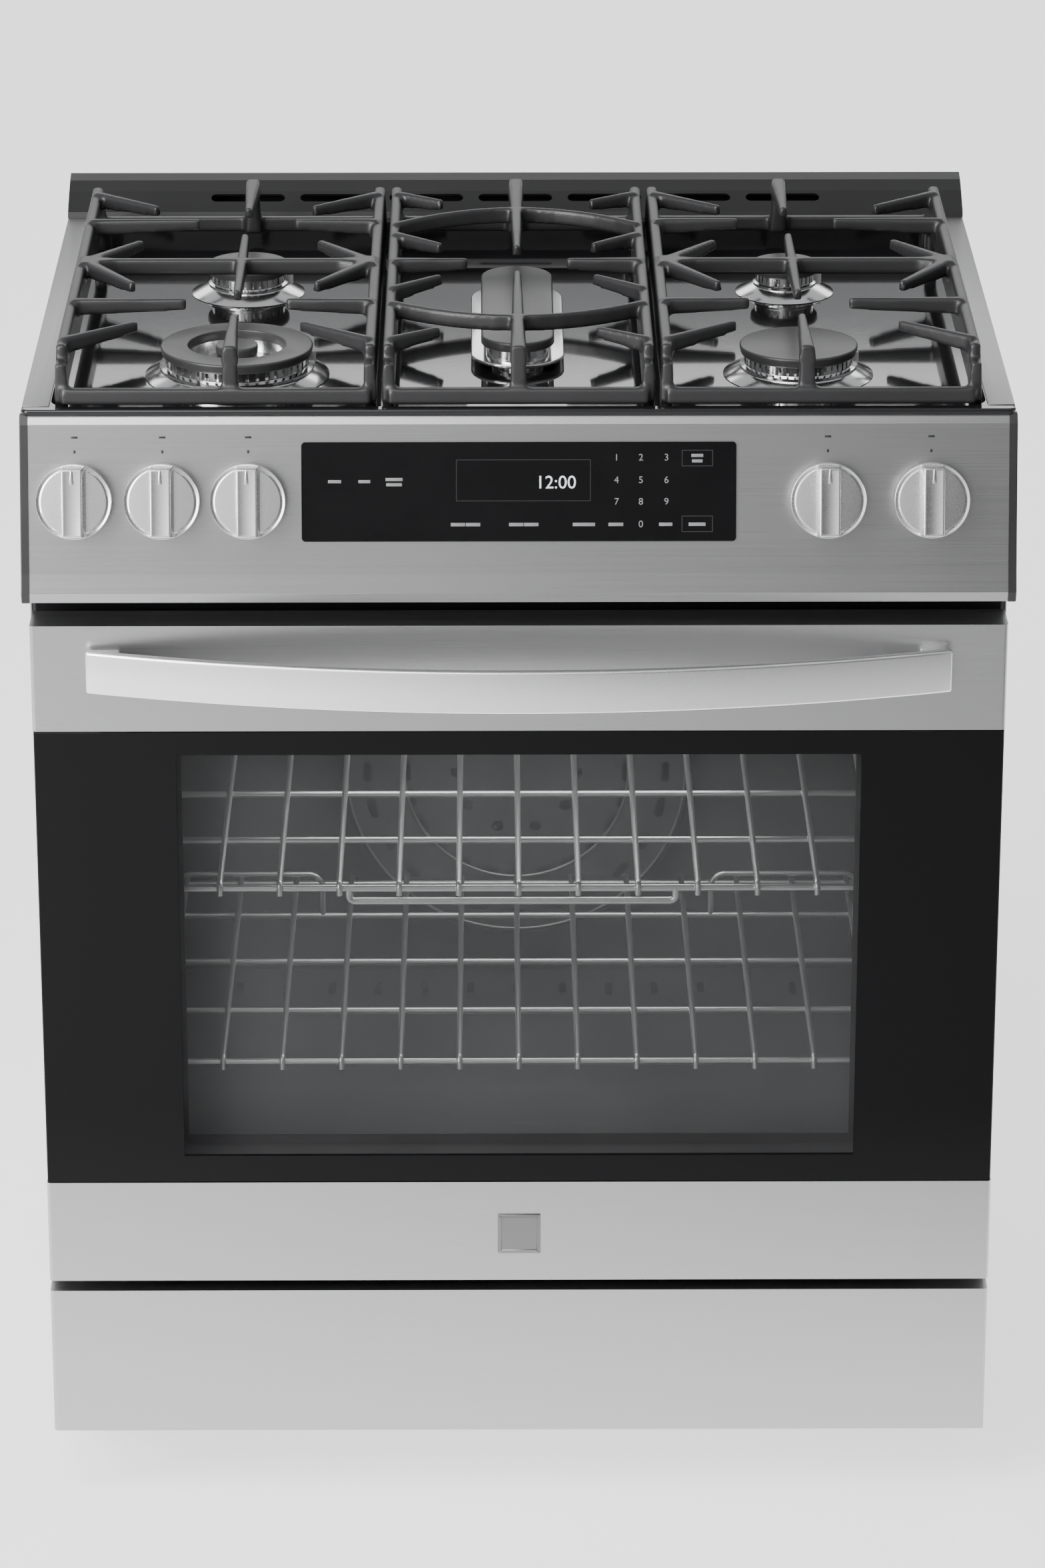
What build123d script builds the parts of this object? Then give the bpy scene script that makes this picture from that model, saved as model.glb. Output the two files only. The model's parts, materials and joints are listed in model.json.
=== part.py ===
"""Freestanding gas range, 762 mm wide, built piece by piece as it is assembled.

Millimetres. X runs to the right, Y to the back, Z up. The origin is on the floor under
the middle of the range. Each piece is one node, written to parts/NAME.step.
"""
import math
import os

from build123d import *

os.makedirs("parts", exist_ok=True)

# ---- driving dimensions ----
CAP_X = 381.0             # outer faces of the fascia's end caps: the overall width is 762
PANEL_X = 378.0           # outer faces of the side panels
FRONT_X = 375.7           # ends of the door, the drawer front and the fascia
FACE_Y = -300.0           # front plane of the door and the drawer
BODY_FRONT = -250.0       # front edge of the side panels
BODY_BACK = 335.0         # rear edge of the side panels
REAR_Y = 360.0            # rearmost point, the gas and power inlets
COOKTOP_Z = 914.0         # rim of the cooktop, 36 inches above the floor
GRATE_Z = 960.0           # top of the grates
DECK_Z = 898.0            # floor of the cooktop's recess
SHEET = 1.0               # sheet metal
GAP = 0.3                 # between pieces that move past each other

# ---- door, drawer and oven ----
DOOR_Z = (197.0, 752.0)
BAND_LOW = 283.0          # top of the lower steel band
BAND_HIGH = 666.0         # bottom of the upper steel band
DOOR_BACK = -255.0        # inner face of the door
HINGE = (-285.0, 213.0)   # door pivot, as (y, z)
HINGE_X = 300.0
PIN_R = 4.0
DRAWER_Z = (63.0, 188.0)
WINDOW = (265.5, 306.0, 646.0)     # half width, bottom, top of the clear part of the glass
OVEN_X = 305.0
OVEN_Y = (-246.0, 200.0)
OVEN_Z = (235.0, 690.0)
MOUTH_Z = 262.0           # lower edge of the oven's mouth

# ---- fascia and knobs ----
FASCIA_TOP = (-265.0, 910.0)       # (y, z) of the top edge of the sloping face
FASCIA_LOW = (-294.0, 792.0)       # (y, z) of the bottom edge of the sloping face
FASCIA_FOOT = 770.0
KNOB_X = (-339.0, -272.0, -206.5, 236.0, 315.0)
KNOB_Z = 847.0
KNOB_R = 28.8
STEM_R = 4.0

# ---- burners: name, x, y, cap radius ----
BURNER_X = 220.5
FRONT_BURNER_Y = -119.0
REAR_BURNER_Y = 113.0
OVAL = (58.0, 224.0, -8.5)         # width, length and centre y of the middle burner's cap
CAP_Z = (915.0, 923.0)

# ---- racks ----
RACK_Z = {"rack_upper": 505.0, "rack_lower": 355.0}
RACK_Y = (-225.0, 158.0)
WIRE_PITCH = 47.4
WIRE_R = 3.0
RIB_LEVELS = (305, 355, 405, 455, 505, 555, 605)


# ---- helpers ----
def save(builder, name):
    """Label a finished piece and write it to its own file."""
    builder.part.label = name
    export_step(builder.part, f"parts/{name}.step")


def block(x, y, z, mode=Mode.ADD):
    """Add a box, or cut one, between the given (low, high) spans."""
    spans = [sorted(span) for span in (x, y, z)]
    with Locations(Vector(*[(low + high) / 2 for low, high in spans])):
        Box(*[high - low for low, high in spans], mode=mode)


def prism(outline, x, inset=0.0, mode=Mode.ADD):
    """Extrude a Y-Z outline between two x values, drawn in by inset."""
    with BuildSketch(Plane.YZ.offset(x[0])) as section:
        with BuildLine():
            Polyline(*outline, close=True)
        make_face()
        if inset:
            offset(amount=-inset, kind=Kind.INTERSECTION)
    extrude(section.sketch, amount=x[1] - x[0], mode=mode)


def rod(start, end, radius, mode=Mode.ADD):
    """Add a straight round bar, or bore a hole, from start to end."""
    start, end = Vector(*start), Vector(*end)
    with BuildSketch(Plane(origin=start, z_dir=end - start)) as section:
        Circle(radius)
    extrude(section.sketch, amount=(end - start).length, mode=mode)


def bent_rod(points, bend, radius):
    """Sweep a round bar along straight runs joined by bends."""
    with BuildLine() as route:
        FilletPolyline(*points, radius=bend)
    with BuildSketch(Plane(origin=route.line @ 0, z_dir=route.line % 0)) as section:
        Circle(radius)
    sweep(section.sketch, path=route.line)


def bar(start, end, width, z, tip=None):
    """Add an upright-sided bar between two (x, y) points, tapering to the tip width."""
    tip = width if tip is None else tip
    along = Vector(end[0] - start[0], end[1] - start[1]).normalized()
    side = Vector(-along.Y, along.X)
    corners = [
        Vector(*start) + side * width / 2,
        Vector(*end) + side * tip / 2,
        Vector(*end) - side * tip / 2,
        Vector(*start) - side * width / 2,
    ]
    with BuildSketch(Plane.XY.offset(z[0])) as section:
        with BuildLine():
            Polyline(*[(corner.X, corner.Y) for corner in corners], close=True)
        make_face()
    extrude(section.sketch, amount=z[1] - z[0])


# ---- cabinet: side panels, back, base and front frame ----
for side, name in ((-1, "side_panel_left"), (1, "side_panel_right")):
    outer = side * PANEL_X
    with BuildPart() as side_panel:
        block((outer, outer - side * SHEET), (BODY_FRONT, BODY_BACK), (50, 895.7))
        block((outer, outer - side * 20), (BODY_BACK - SHEET, BODY_BACK), (50, 895.7))
        with BuildSketch(Plane.YZ.offset(outer - side * SHEET)) as stiffening_bead:
            for bead_y in (-120, 60, 240):
                with Locations((bead_y, 480)):
                    SlotOverall(600, 14, rotation=90)
        extrude(stiffening_bead.sketch, amount=side * -1.2)
    save(side_panel, name)

PANEL_IN = PANEL_X - SHEET - 0.2   # inner faces of the side panels, less a fitting gap
BACK_IN = BODY_BACK - SHEET - 0.1

with BuildPart() as back_panel:
    block((-PANEL_IN, PANEL_IN), (BACK_IN - SHEET, BACK_IN), (66, 895.7))
    with BuildSketch(Plane.XZ.offset(-BACK_IN)) as louvres:
        with Locations((0, 780)):
            with GridLocations(80, 24, 5, 3):
                SlotOverall(60, 6)
        with Locations((0, 454)):
            Circle(24)
        with Locations((0, 160)):
            Rectangle(70, 40)
        with Locations((345, 135)):
            Circle(16)
    extrude(louvres.sketch, amount=SHEET, mode=Mode.SUBTRACT)
save(back_panel, "back_panel")

FOOT_PLACES = [(-330, -110), (330, -110), (-330, 300), (330, 300)]
RAIL_Z = (46.0, 62.0)

with BuildPart() as base_frame:
    for side in (-1, 1):
        block((side * 312, side * PANEL_IN), (-235, 331), (RAIL_Z[1] - 3, RAIL_Z[1]))
        block((side * 374, side * PANEL_IN), (-235, 331), RAIL_Z)
        block((side * 312, side * 314), (-235, 331), RAIL_Z)
    for low, high in ((-235, -196), (296, 331)):
        block((-PANEL_IN, PANEL_IN), (low, high), (RAIL_Z[1] - 3, RAIL_Z[1]))
        block((-312, 312), (low, low + 2), RAIL_Z)
    with Locations(*[(x, y, 54) for x, y in FOOT_PLACES]):
        Cylinder(11, 12)
        Cylinder(5.5, 40, mode=Mode.SUBTRACT)
save(base_frame, "base_frame")

for place, name in zip(FOOT_PLACES, ("front_left", "front_right", "rear_left", "rear_right")):
    with BuildPart() as foot:
        with BuildSketch(Plane.XY) as pad:
            with Locations(place):
                Circle(19)
        extrude(amount=9)
        fillet(foot.edges().group_by(Axis.Z)[-1], 3)
        with BuildSketch(Plane.XY.offset(9)) as nut:
            with Locations(place):
                RegularPolygon(11, 6)
        extrude(amount=8)
        with BuildSketch(Plane.XY.offset(17)) as stud:
            with Locations(place):
                Circle(5.2)
        extrude(amount=56)
    save(foot, f"foot_{name}")

FRAME_Y = (-248.0, -246.0)
with BuildPart() as front_frame:
    block((-PANEL_IN, PANEL_IN), FRAME_Y, (64, 769))
    block((-OVEN_X, OVEN_X), FRAME_Y, (MOUTH_Z, OVEN_Z[1]), Mode.SUBTRACT)
    block((-350, 350), FRAME_Y, (66, 180), Mode.SUBTRACT)
    for side in (-1, 1):
        block((side * 374, side * PANEL_IN), (FRAME_Y[1], -200), (64, 769))
        hinge_slot = (side * HINGE_X - 7, side * HINGE_X + 7)
        block(hinge_slot, FRAME_Y, (204, 222), Mode.SUBTRACT)
    block((-PANEL_IN, PANEL_IN), (FRAME_Y[1], -210), (180, 182))
save(front_frame, "front_frame")

# ---- oven ----
SEAM = 0.1                # between the oven's five sheets, where they are welded
with BuildPart() as oven_cavity:
    depth = (-245.9, OVEN_Y[1] + SHEET)
    width = (SEAM - OVEN_X, OVEN_X - SEAM)
    for side in (-1, 1):
        block((side * OVEN_X, side * (OVEN_X + SHEET)), depth,
              (OVEN_Z[0] - SHEET, OVEN_Z[1] + SHEET))
        for rack_z in RIB_LEVELS:
            rib_top = rack_z - WIRE_R - GAP
            block((side * OVEN_X, side * 289), (-226, 190), (rib_top - 2.5, rib_top))
    block(width, depth, (OVEN_Z[0] - SHEET, OVEN_Z[0]))
    block(width, depth, (OVEN_Z[1], OVEN_Z[1] + SHEET))
    block(width, (OVEN_Y[1], depth[1]), (OVEN_Z[0] + SEAM, OVEN_Z[1] - SEAM))
    block((-60, 60), (OVEN_Y[1], depth[1]), (652, 676), Mode.SUBTRACT)
    rod((0, OVEN_Y[1] - 1, 454), (0, OVEN_Y[1] + 4, 454), 7, Mode.SUBTRACT)
    rod((-210, OVEN_Y[1] - 1, 630), (-210, OVEN_Y[1] + 4, 630), 22, Mode.SUBTRACT)
save(oven_cavity, "oven_cavity")

with BuildPart() as oven_insulation:
    room = SHEET + GAP
    block((-330, 330), (-245.5, 226), (209, 716))
    block((-OVEN_X - room, OVEN_X + room), (-245.5, OVEN_Y[1] + room),
          (OVEN_Z[0] - room, OVEN_Z[1] + room), Mode.SUBTRACT)
    for side in (-1, 1):
        block((side * 280, side * 340), (-245.5, -200), (208, 232), Mode.SUBTRACT)
    block((-75, 75), (OVEN_Y[1], 240), (640, 722), Mode.SUBTRACT)
    rod((0, 195, 454), (0, 245, 454), 46, Mode.SUBTRACT)
    rod((-210, 195, 630), (-210, 245, 630), 27, Mode.SUBTRACT)
save(oven_insulation, "oven_insulation")

with BuildPart() as oven_floor:
    block((-303, 303), (-244, 196), (258, 259.2))
    with BuildSketch(Plane.XY.offset(258)) as slots:
        for row_y in (-200, 150):
            with Locations((0, row_y)):
                with GridLocations(40, 1, 13, 1):
                    SlotOverall(30, 6, rotation=90)
    extrude(amount=2, mode=Mode.SUBTRACT)
save(oven_floor, "oven_floor")

with BuildPart() as bake_burner:
    bent_rod([(-90, 190, 246), (-90, -180, 246), (90, -180, 246), (90, 190, 246)], 40, 7)
save(bake_burner, "bake_burner")

with BuildPart() as broil_burner:
    block((-190, 190), (-150, 120), (674, 677))
    rod((0, 195, 680), (0, 120, 680), 6)
    block((-14, 14), (-150, 124), (677, 688))
save(broil_burner, "broil_burner")

FAN = (0.0, 454.0)
FAN_PLANE = Plane(origin=(FAN[0], 168, FAN[1]), x_dir=(1, 0, 0), z_dir=(0, -1, 0))
with BuildPart() as fan_cover:
    with BuildSketch(FAN_PLANE):
        Circle(151)
    extrude(amount=-31.7, taper=-4)
    fillet(fan_cover.faces().sort_by(Axis.Y)[0].edges(), 8)
    with BuildSketch(FAN_PLANE.offset(-SHEET)):
        Circle(148)
    extrude(amount=-31, taper=-4, mode=Mode.SUBTRACT)
    with BuildSketch(FAN_PLANE):
        for ring_r in (94, 128):
            with PolarLocations(ring_r, 24):
                SlotOverall(18, 7, rotation=90)
        with PolarLocations(52, 10):
            Circle(5)
    extrude(amount=-SHEET, mode=Mode.SUBTRACT)
save(fan_cover, "fan_cover")

with BuildPart() as fan_blade:
    rod((FAN[0], 176, FAN[1]), (FAN[0], 213.5, FAN[1]), 5)
    with BuildSketch(FAN_PLANE.offset(-12)):
        Circle(20)
        for blade in range(8):
            with Locations(Rot(0, 0, 45 * blade) * Pos(50, 0)):
                Rectangle(72, 10)
    extrude(amount=-3)
    with BuildSketch(FAN_PLANE.offset(-15)):
        for blade in range(8):
            with Locations(Rot(0, 0, 45 * blade) * Pos(58, 3.5)):
                Rectangle(54, 3)
    extrude(amount=-12)
save(fan_blade, "fan_blade")

with BuildPart() as fan_motor:
    rod((FAN[0], 214, FAN[1]), (FAN[0], 262, FAN[1]), 40)
    block((-14, 14), (262, 331), (FAN[1] - 14, FAN[1] + 14))
    block((-60, 60), (243, 246), (FAN[1] - 12, FAN[1] + 12))
save(fan_motor, "fan_motor")

with BuildPart() as oven_lamp:
    rod((-210, 178, 630), (-210, 246, 630), 20)
    fillet(oven_lamp.faces().sort_by(Axis.Y)[0].edges(), 10)
    rod((-210, 197, 630), (-210, 199.7, 630), 29)
save(oven_lamp, "oven_lamp")

with BuildPart() as flue_duct:
    block((-68, 68), (OVEN_Y[1] + SHEET + SEAM, 239), (644, 718))
    block((-66, 66), (OVEN_Y[1], 237), (646, 716), Mode.SUBTRACT)
    block((-68, 68), (215, 325), (718, 760))
    block((-66, 66), (217, 323), (716, 758), Mode.SUBTRACT)
    block((-66, 66), (217, 237), (714, 720), Mode.SUBTRACT)
    block((-68, 68), (290, 325), (760, 913.7))
    block((-66, 66), (292, 323), (757, 913.7), Mode.SUBTRACT)
save(flue_duct, "flue_duct")

GASKET_Y = (FRAME_Y[0], DOOR_BACK + GAP)
with BuildPart() as door_gasket:
    for amount, mode in ((16, Mode.ADD), (5, Mode.SUBTRACT)):
        with BuildSketch(Plane.XZ.offset(-GASKET_Y[0])):
            with Locations((0, (MOUTH_Z + OVEN_Z[1]) / 2)):
                RectangleRounded(2 * (OVEN_X + amount), OVEN_Z[1] - MOUTH_Z + 2 * amount, 12)
        extrude(amount=GASKET_Y[0] - GASKET_Y[1], mode=mode)
save(door_gasket, "door_gasket")

with BuildPart() as door_hinges:
    for side in (-1, 1):
        block((side * 297, side * 303), (HINGE[0], -205), (HINGE[1] - 5, HINGE[1] + 5))
        block((side * 290, side * 310), (-245.9, -205), (HINGE[1] - 8, HINGE[1] + 8))
        rod((side * 297, *HINGE), (side * 303, *HINGE), 8)
        rod((side * 289.5, *HINGE), (side * 310.5, *HINGE), PIN_R)
save(door_hinges, "door_hinges")

# ---- oven door: a pressed inner frame, two steel bands, the glass, the liner and the handle ----
FRAME_FRONT = FACE_Y + 4.3
with BuildPart() as door_frame:
    outline_x, outline_z = 373.5, (199, 750)
    window_x, window_z = WINDOW[0] + 6.5, (WINDOW[1] - 6, WINDOW[2] + 6)
    block((-outline_x, outline_x), (FRAME_FRONT, -262), outline_z)
    block(
        (SHEET - outline_x, outline_x - SHEET),
        (FRAME_FRONT, -262 - SHEET),
        (outline_z[0] + SHEET, outline_z[1] - SHEET),
        Mode.SUBTRACT,
    )
    block((-window_x - SHEET, window_x + SHEET), (FRAME_FRONT, -262),
          (window_z[0] - SHEET, window_z[1] + SHEET))
    block((-window_x, window_x), (FRAME_FRONT, -262), window_z, Mode.SUBTRACT)
    for side in (-1, 1):
        block((side * 289.5, side * 310.5), (FRAME_FRONT, -262), (199, 240))
        block((side * 292, side * 308), (FRAME_FRONT, -262), (199, 237), Mode.SUBTRACT)
        rod((side * 285, *HINGE), (side * 315, *HINGE), PIN_R + 0.08, Mode.SUBTRACT)
save(door_frame, "door_frame")

for name, span, return_z in (
    ("door_top_band", (BAND_HIGH, DOOR_Z[1]), (DOOR_Z[1] - 1.2, DOOR_Z[1])),
    ("door_bottom_band", (DOOR_Z[0], BAND_LOW), (DOOR_Z[0], DOOR_Z[0] + 1.2)),
):
    with BuildPart() as band:
        block((-FRONT_X, FRONT_X), (FACE_Y, FRAME_FRONT - 0.1), span)
        for side in (-1, 1):
            block((side * FRONT_X, side * (FRONT_X - 1.2)), (FACE_Y, -264), span)
        block((-FRONT_X, FRONT_X), (FACE_Y, -264), return_z)
        fillet(band.edges().filter_by(Axis.Z).group_by(Axis.Y)[0], 3)
        if name == "door_bottom_band":
            for side in (-1, 1):
                block((side * 292, side * 308), (FRAME_FRONT, -264), return_z, Mode.SUBTRACT)
    save(band, name)

with BuildPart() as door_glass:
    block((-375, 375), (FACE_Y, FACE_Y + 4), (BAND_LOW + GAP, BAND_HIGH - GAP))
    chamfer(door_glass.faces().sort_by(Axis.Y)[0].edges(), 0.8)
save(door_glass, "door_glass")

with BuildPart() as door_liner:
    with BuildSketch(Plane.XZ.offset(-DOOR_BACK)):
        with Locations((0, 482)):
            RectangleRounded(690, 508, 14)
    extrude(amount=261.8 + DOOR_BACK)
    with BuildSketch(Plane.XZ.offset(-DOOR_BACK - 1.2)):
        with Locations((0, 482)):
            RectangleRounded(686, 504, 12)
    extrude(amount=261.8 + DOOR_BACK, mode=Mode.SUBTRACT)
    block((-WINDOW[0] + 2, WINDOW[0] - 2), (-261.8, DOOR_BACK), (WINDOW[1] + 2, WINDOW[2] - 2),
          Mode.SUBTRACT)
save(door_liner, "door_liner")

with BuildPart() as door_inner_glass:
    block((-WINDOW[0] - 5, WINDOW[0] + 5), (-260.5, DOOR_BACK - 1.4), (WINDOW[1] - 5, WINDOW[2] + 5))
save(door_inner_glass, "door_inner_glass")

HANDLE_Z = (701.0, 735.0)
HANDLE_X = 333.0
with BuildPart() as door_handle:
    with BuildSketch(Plane.XY.offset(HANDLE_Z[0])):
        with BuildLine():
            front = ThreePointArc((-HANDLE_X, -312), (0, -360), (HANDLE_X, -312))
            back = ThreePointArc((-HANDLE_X, -304), (0, -352), (HANDLE_X, -304))
            Line(front @ 0, back @ 0)
            Line(front @ 1, back @ 1)
        make_face()
    extrude(amount=HANDLE_Z[1] - HANDLE_Z[0])
    for side in (-1, 1):
        block((side * (HANDLE_X - 24), side * HANDLE_X), (FACE_Y, -306),
              (HANDLE_Z[0] + 4, HANDLE_Z[1] - 4))
save(door_handle, "door_handle")

# ---- storage drawer ----
with BuildPart() as drawer_front:
    block((-FRONT_X, FRONT_X), (FACE_Y, FACE_Y + 20), DRAWER_Z)
    fillet(drawer_front.edges().filter_by(Axis.Z).group_by(Axis.Y)[0], 3)
    block((1.2 - FRONT_X, FRONT_X - 1.2), (FACE_Y + 1.2, FACE_Y + 20),
          (DRAWER_Z[0] + 1.2, DRAWER_Z[1] - 1.2), Mode.SUBTRACT)
    block((-340, 340), (FACE_Y + 1.2, FACE_Y + 19), (DRAWER_Z[0] + 1.2, DRAWER_Z[0] + 16))
save(drawer_front, "drawer_front")

DRAWER_X = 325.0
with BuildPart() as drawer_box:
    block((-DRAWER_X, DRAWER_X), (FACE_Y + 20.1, 230), (80, 165))
    block((SHEET - DRAWER_X, DRAWER_X - SHEET), (FACE_Y + 20.1 + SHEET, 230 - SHEET),
          (80 + SHEET, 165), Mode.SUBTRACT)
    for side in (-1, 1):
        block((side * DRAWER_X, side * 345), (-235, 230), (113, 119))
save(drawer_box, "drawer_box")

with BuildPart() as drawer_rails:
    for side in (-1, 1):
        block((side * 330, side * 349.5), (-245.8, 250), (108.5, 123.5))
        block((side * 330, side * 348), (-245.8, 250), (110, 122), Mode.SUBTRACT)
        for bracket_y in (-200, 200):
            block((side * 349.5, side * PANEL_IN), (bracket_y, bracket_y + 30), (108.5, 110))
save(drawer_rails, "drawer_rails")

# ---- oven racks ----
for name, rack_z in RACK_Z.items():
    with BuildPart() as rack:
        for side in (-1, 1):
            rod((side * 296, RACK_Y[0] - 4, rack_z), (side * 296, RACK_Y[1] + 3, rack_z), WIRE_R)
        for bar_y in (RACK_Y[0], -121, -17, 85, RACK_Y[1]):
            rod((-296, bar_y, rack_z), (296, bar_y, rack_z), 2.7)
        wire_z = rack_z + 5
        for step in range(-6, 7):
            wire_x = step * WIRE_PITCH
            bent_rod([(wire_x, RACK_Y[0] - 5, rack_z - 4), (wire_x, RACK_Y[0] - 5, wire_z),
                      (wire_x, RACK_Y[1] + 2, wire_z)], 4, 2.4)
        if name == "rack_upper":
            bent_rod([(-135, -225, rack_z), (-135, -225, rack_z - 11),
                      (125, -225, rack_z - 11), (125, -225, rack_z)], 5, WIRE_R)
        else:
            for side in (-1, 1):
                bent_rod([(side * 165, 85, rack_z), (side * 165, 85, rack_z + 38),
                          (side * 290, 85, rack_z + 38), (side * 290, 85, rack_z)], 12, 2.4)
    save(rack, name)

# ---- cooktop ----
BURNERS = {
    "left_front": (-BURNER_X, FRONT_BURNER_Y, 60.3),
    "left_rear": (-BURNER_X, REAR_BURNER_Y, 34.0),
    "middle": (0.0, OVAL[2], 29.0),
    "right_front": (BURNER_X, FRONT_BURNER_Y, 46.7),
    "right_rear": (BURNER_X, REAR_BURNER_Y, 28.0),
}
with BuildPart() as cooktop:
    block((-380, 380), (-265, 338), (896, COOKTOP_Z))
    fillet(cooktop.edges().filter_by(Axis.Z), 6)
    fillet(cooktop.faces().sort_by(Axis.Z)[-1].edges(), 2)
    with BuildSketch(Plane.XY.offset(COOKTOP_Z)):
        with Locations((0, 6)):
            RectangleRounded(716, 524, 16)
    extrude(amount=DECK_Z - COOKTOP_Z, mode=Mode.SUBTRACT)
    block((-382, 382), (-266, -257.5), (895, 910.3), Mode.SUBTRACT)
    for side in (-1, 1):
        block((side * 361, side * 377.5), (-250, 330), (896, COOKTOP_Z - 2), Mode.SUBTRACT)
    block((-355, 355), (272, 334), (896, COOKTOP_Z - 2), Mode.SUBTRACT)
    block((-70, 70), (288, 327), (COOKTOP_Z - 2, COOKTOP_Z), Mode.SUBTRACT)
    for x, y, cap_r in BURNERS.values():
        rod((x, y, 890), (x, y, 900), 10, Mode.SUBTRACT)
save(cooktop, "cooktop")

VENT_PROFILE = [(282, 914), (284, 919), (306, 931), (320, 937), (334, 940), (338, 937), (338, 914)]
with BuildPart() as vent_trim:
    prism(VENT_PROFILE, (-CAP_X + 1, CAP_X - 1))
    fillet(vent_trim.edges().filter_by(Axis.X).sort_by(Axis.Z)[-1], 2)
    prism(VENT_PROFILE, (-CAP_X + 3, CAP_X - 3), inset=2, mode=Mode.SUBTRACT)
    block((-CAP_X + 3, CAP_X - 3), (286, 336), (910, 918), Mode.SUBTRACT)
    slope = Plane(origin=(0, 299, 927.2), x_dir=(1, 0, 0), z_dir=(0, -12, 22))
    with BuildSketch(slope):
        with GridLocations(75.8, 1, 7, 1):
            SlotOverall(62.7, 9)
    extrude(amount=8, both=True, mode=Mode.SUBTRACT)
save(vent_trim, "vent_trim")

with BuildPart() as burner_heads:
    for name, (x, y, cap_r) in BURNERS.items():
        rod((x, y, 884), (x, y, DECK_Z), 9.5)
        with BuildSketch(Plane.XY.offset(DECK_Z)):
            with Locations((x, y)):
                if name == "middle":
                    SlotOverall(OVAL[1] - 14, OVAL[0] - 14, rotation=90)
                else:
                    Circle(cap_r - 5)
        extrude(amount=CAP_Z[0] - DECK_Z)
        if name == "left_front":
            with BuildSketch(Plane.XY.offset(904)):
                with Locations((x, y)):
                    Circle(40)
                    Circle(21, mode=Mode.SUBTRACT)
            extrude(amount=CAP_Z[0] - 904, mode=Mode.SUBTRACT)
        if name != "middle":
            with BuildSketch(Plane.XY.offset(907)):
                with Locations((x, y)):
                    with PolarLocations(cap_r - 7, 24 if cap_r > 40 else 18):
                        Rectangle(7, 2)
            extrude(amount=5, mode=Mode.SUBTRACT)
save(burner_heads, "burner_heads")

with BuildPart() as burner_caps:
    for name, (x, y, cap_r) in BURNERS.items():
        with BuildSketch(Plane.XY.offset(CAP_Z[0])):
            with Locations((x, y)):
                if name == "middle":
                    SlotOverall(OVAL[1], OVAL[0], rotation=90)
                else:
                    Circle(cap_r)
                if name == "left_front":
                    Circle(38.3, mode=Mode.SUBTRACT)
                    Circle(16.8)
        extrude(amount=CAP_Z[1] - CAP_Z[0])
    chamfer(burner_caps.edges().group_by(Axis.Z)[-1], 1.5)
save(burner_caps, "burner_caps")

# ---- grates: upright side rails, low end bars and fingers over each burner ----
RAIL = (928.0, 957.0)
FINGER = (942.0, GRATE_Z)
LOW_BAR = (914.6, 927.0)
GRATE_Y = (-250.5, 240.0)


def grate_frame(rail_x):
    """Side rails, the low front and rear bars, and the feet that stand on the deck."""
    for x in rail_x:
        bar((x, -238), (x, 228), 11, RAIL)
        for y in GRATE_Y:
            inner_y = y + math.copysign(18, -y)
            bar((x, y), (x, inner_y), 11, (LOW_BAR[0], 942))
            foot_y = y + math.copysign(8, -y)
            rod((x, foot_y, DECK_Z + GAP), (x, foot_y, LOW_BAR[0] + 2), 5)
    for y in GRATE_Y:
        bar((rail_x[0], y), (rail_x[1], y), 11, LOW_BAR)


for side, name in ((-1, "grate_left"), (1, "grate_right")):
    near, far, middle = side * 113.5, side * 349.5, side * BURNER_X
    with BuildPart() as grate:
        grate_frame((near, far))
        for y, tip_y in zip(GRATE_Y, (-160, 146)):
            bar((middle, y), (middle, tip_y), 14, FINGER, tip=6.5)
            bar((middle, y), (middle, y + math.copysign(14, -y)), 14, (LOW_BAR[0], 950))
        for rail_x, inward in ((near, side), (far, -side)):
            for y in (FRONT_BURNER_Y, REAR_BURNER_Y):
                bar((rail_x, y), (middle - inward * 39, y), 11, FINGER, tip=7)
            for root_y, tip_y in ((-224, -180), (199, 154)):
                bar((rail_x, root_y), (rail_x + inward * 54, tip_y), 10, FINGER, tip=6)
            for tip_y in (-72, 51):
                bar((rail_x, -5), (rail_x + inward * 46, tip_y), 12, FINGER, tip=6)
            bar((rail_x, -5), (rail_x + inward * 26, -5), 30, FINGER, tip=10)
        bar((near, -5), (far, -5), 10, FINGER)
        bar((middle, -97), (middle, 70), 8, FINGER)
    save(grate, name)

with BuildPart() as grate_center:
    grate_frame((-99.5, 99.5))
    for y, tip_y in zip(GRATE_Y, (-38, 32)):
        bar((0, y), (0, tip_y), 14, FINGER, tip=7)
        bar((0, y), (0, y + math.copysign(14, -y)), 14, (LOW_BAR[0], 950))
    for end_y, crown_y in ((-124, -165), (102, 148)):
        with BuildSketch(Plane.XY.offset(FINGER[0])):
            with BuildLine():
                outer = ThreePointArc((-99.5, end_y - 4), (0, crown_y - 4), (99.5, end_y - 4))
                inner = ThreePointArc((-99.5, end_y + 4), (0, crown_y + 4), (99.5, end_y + 4))
                Line(outer @ 0, inner @ 0)
                Line(outer @ 1, inner @ 1)
            make_face()
        extrude(amount=FINGER[1] - FINGER[0])
    for side in (-1, 1):
        bar((side * 99.5, -5), (side * 39.6, -5), 11, FINGER, tip=7)
        for root_y, tip_y in ((-85, -50), (75, 40)):
            bar((side * 99.5, root_y), (side * 61, tip_y), 9, FINGER, tip=6)
        for root_y, tip_y in ((-224, -196), (199, 172)):
            bar((side * 99.5, root_y), (side * 61, tip_y), 9, FINGER, tip=6)
save(grate_center, "grate_center")

# ---- control fascia, its end caps and the display ----
SLOPE = Vector(0, FASCIA_LOW[0] - FASCIA_TOP[0], FASCIA_LOW[1] - FASCIA_TOP[1]).normalized()
OUTWARD = Vector(0, SLOPE.Z, -SLOPE.Y)


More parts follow.
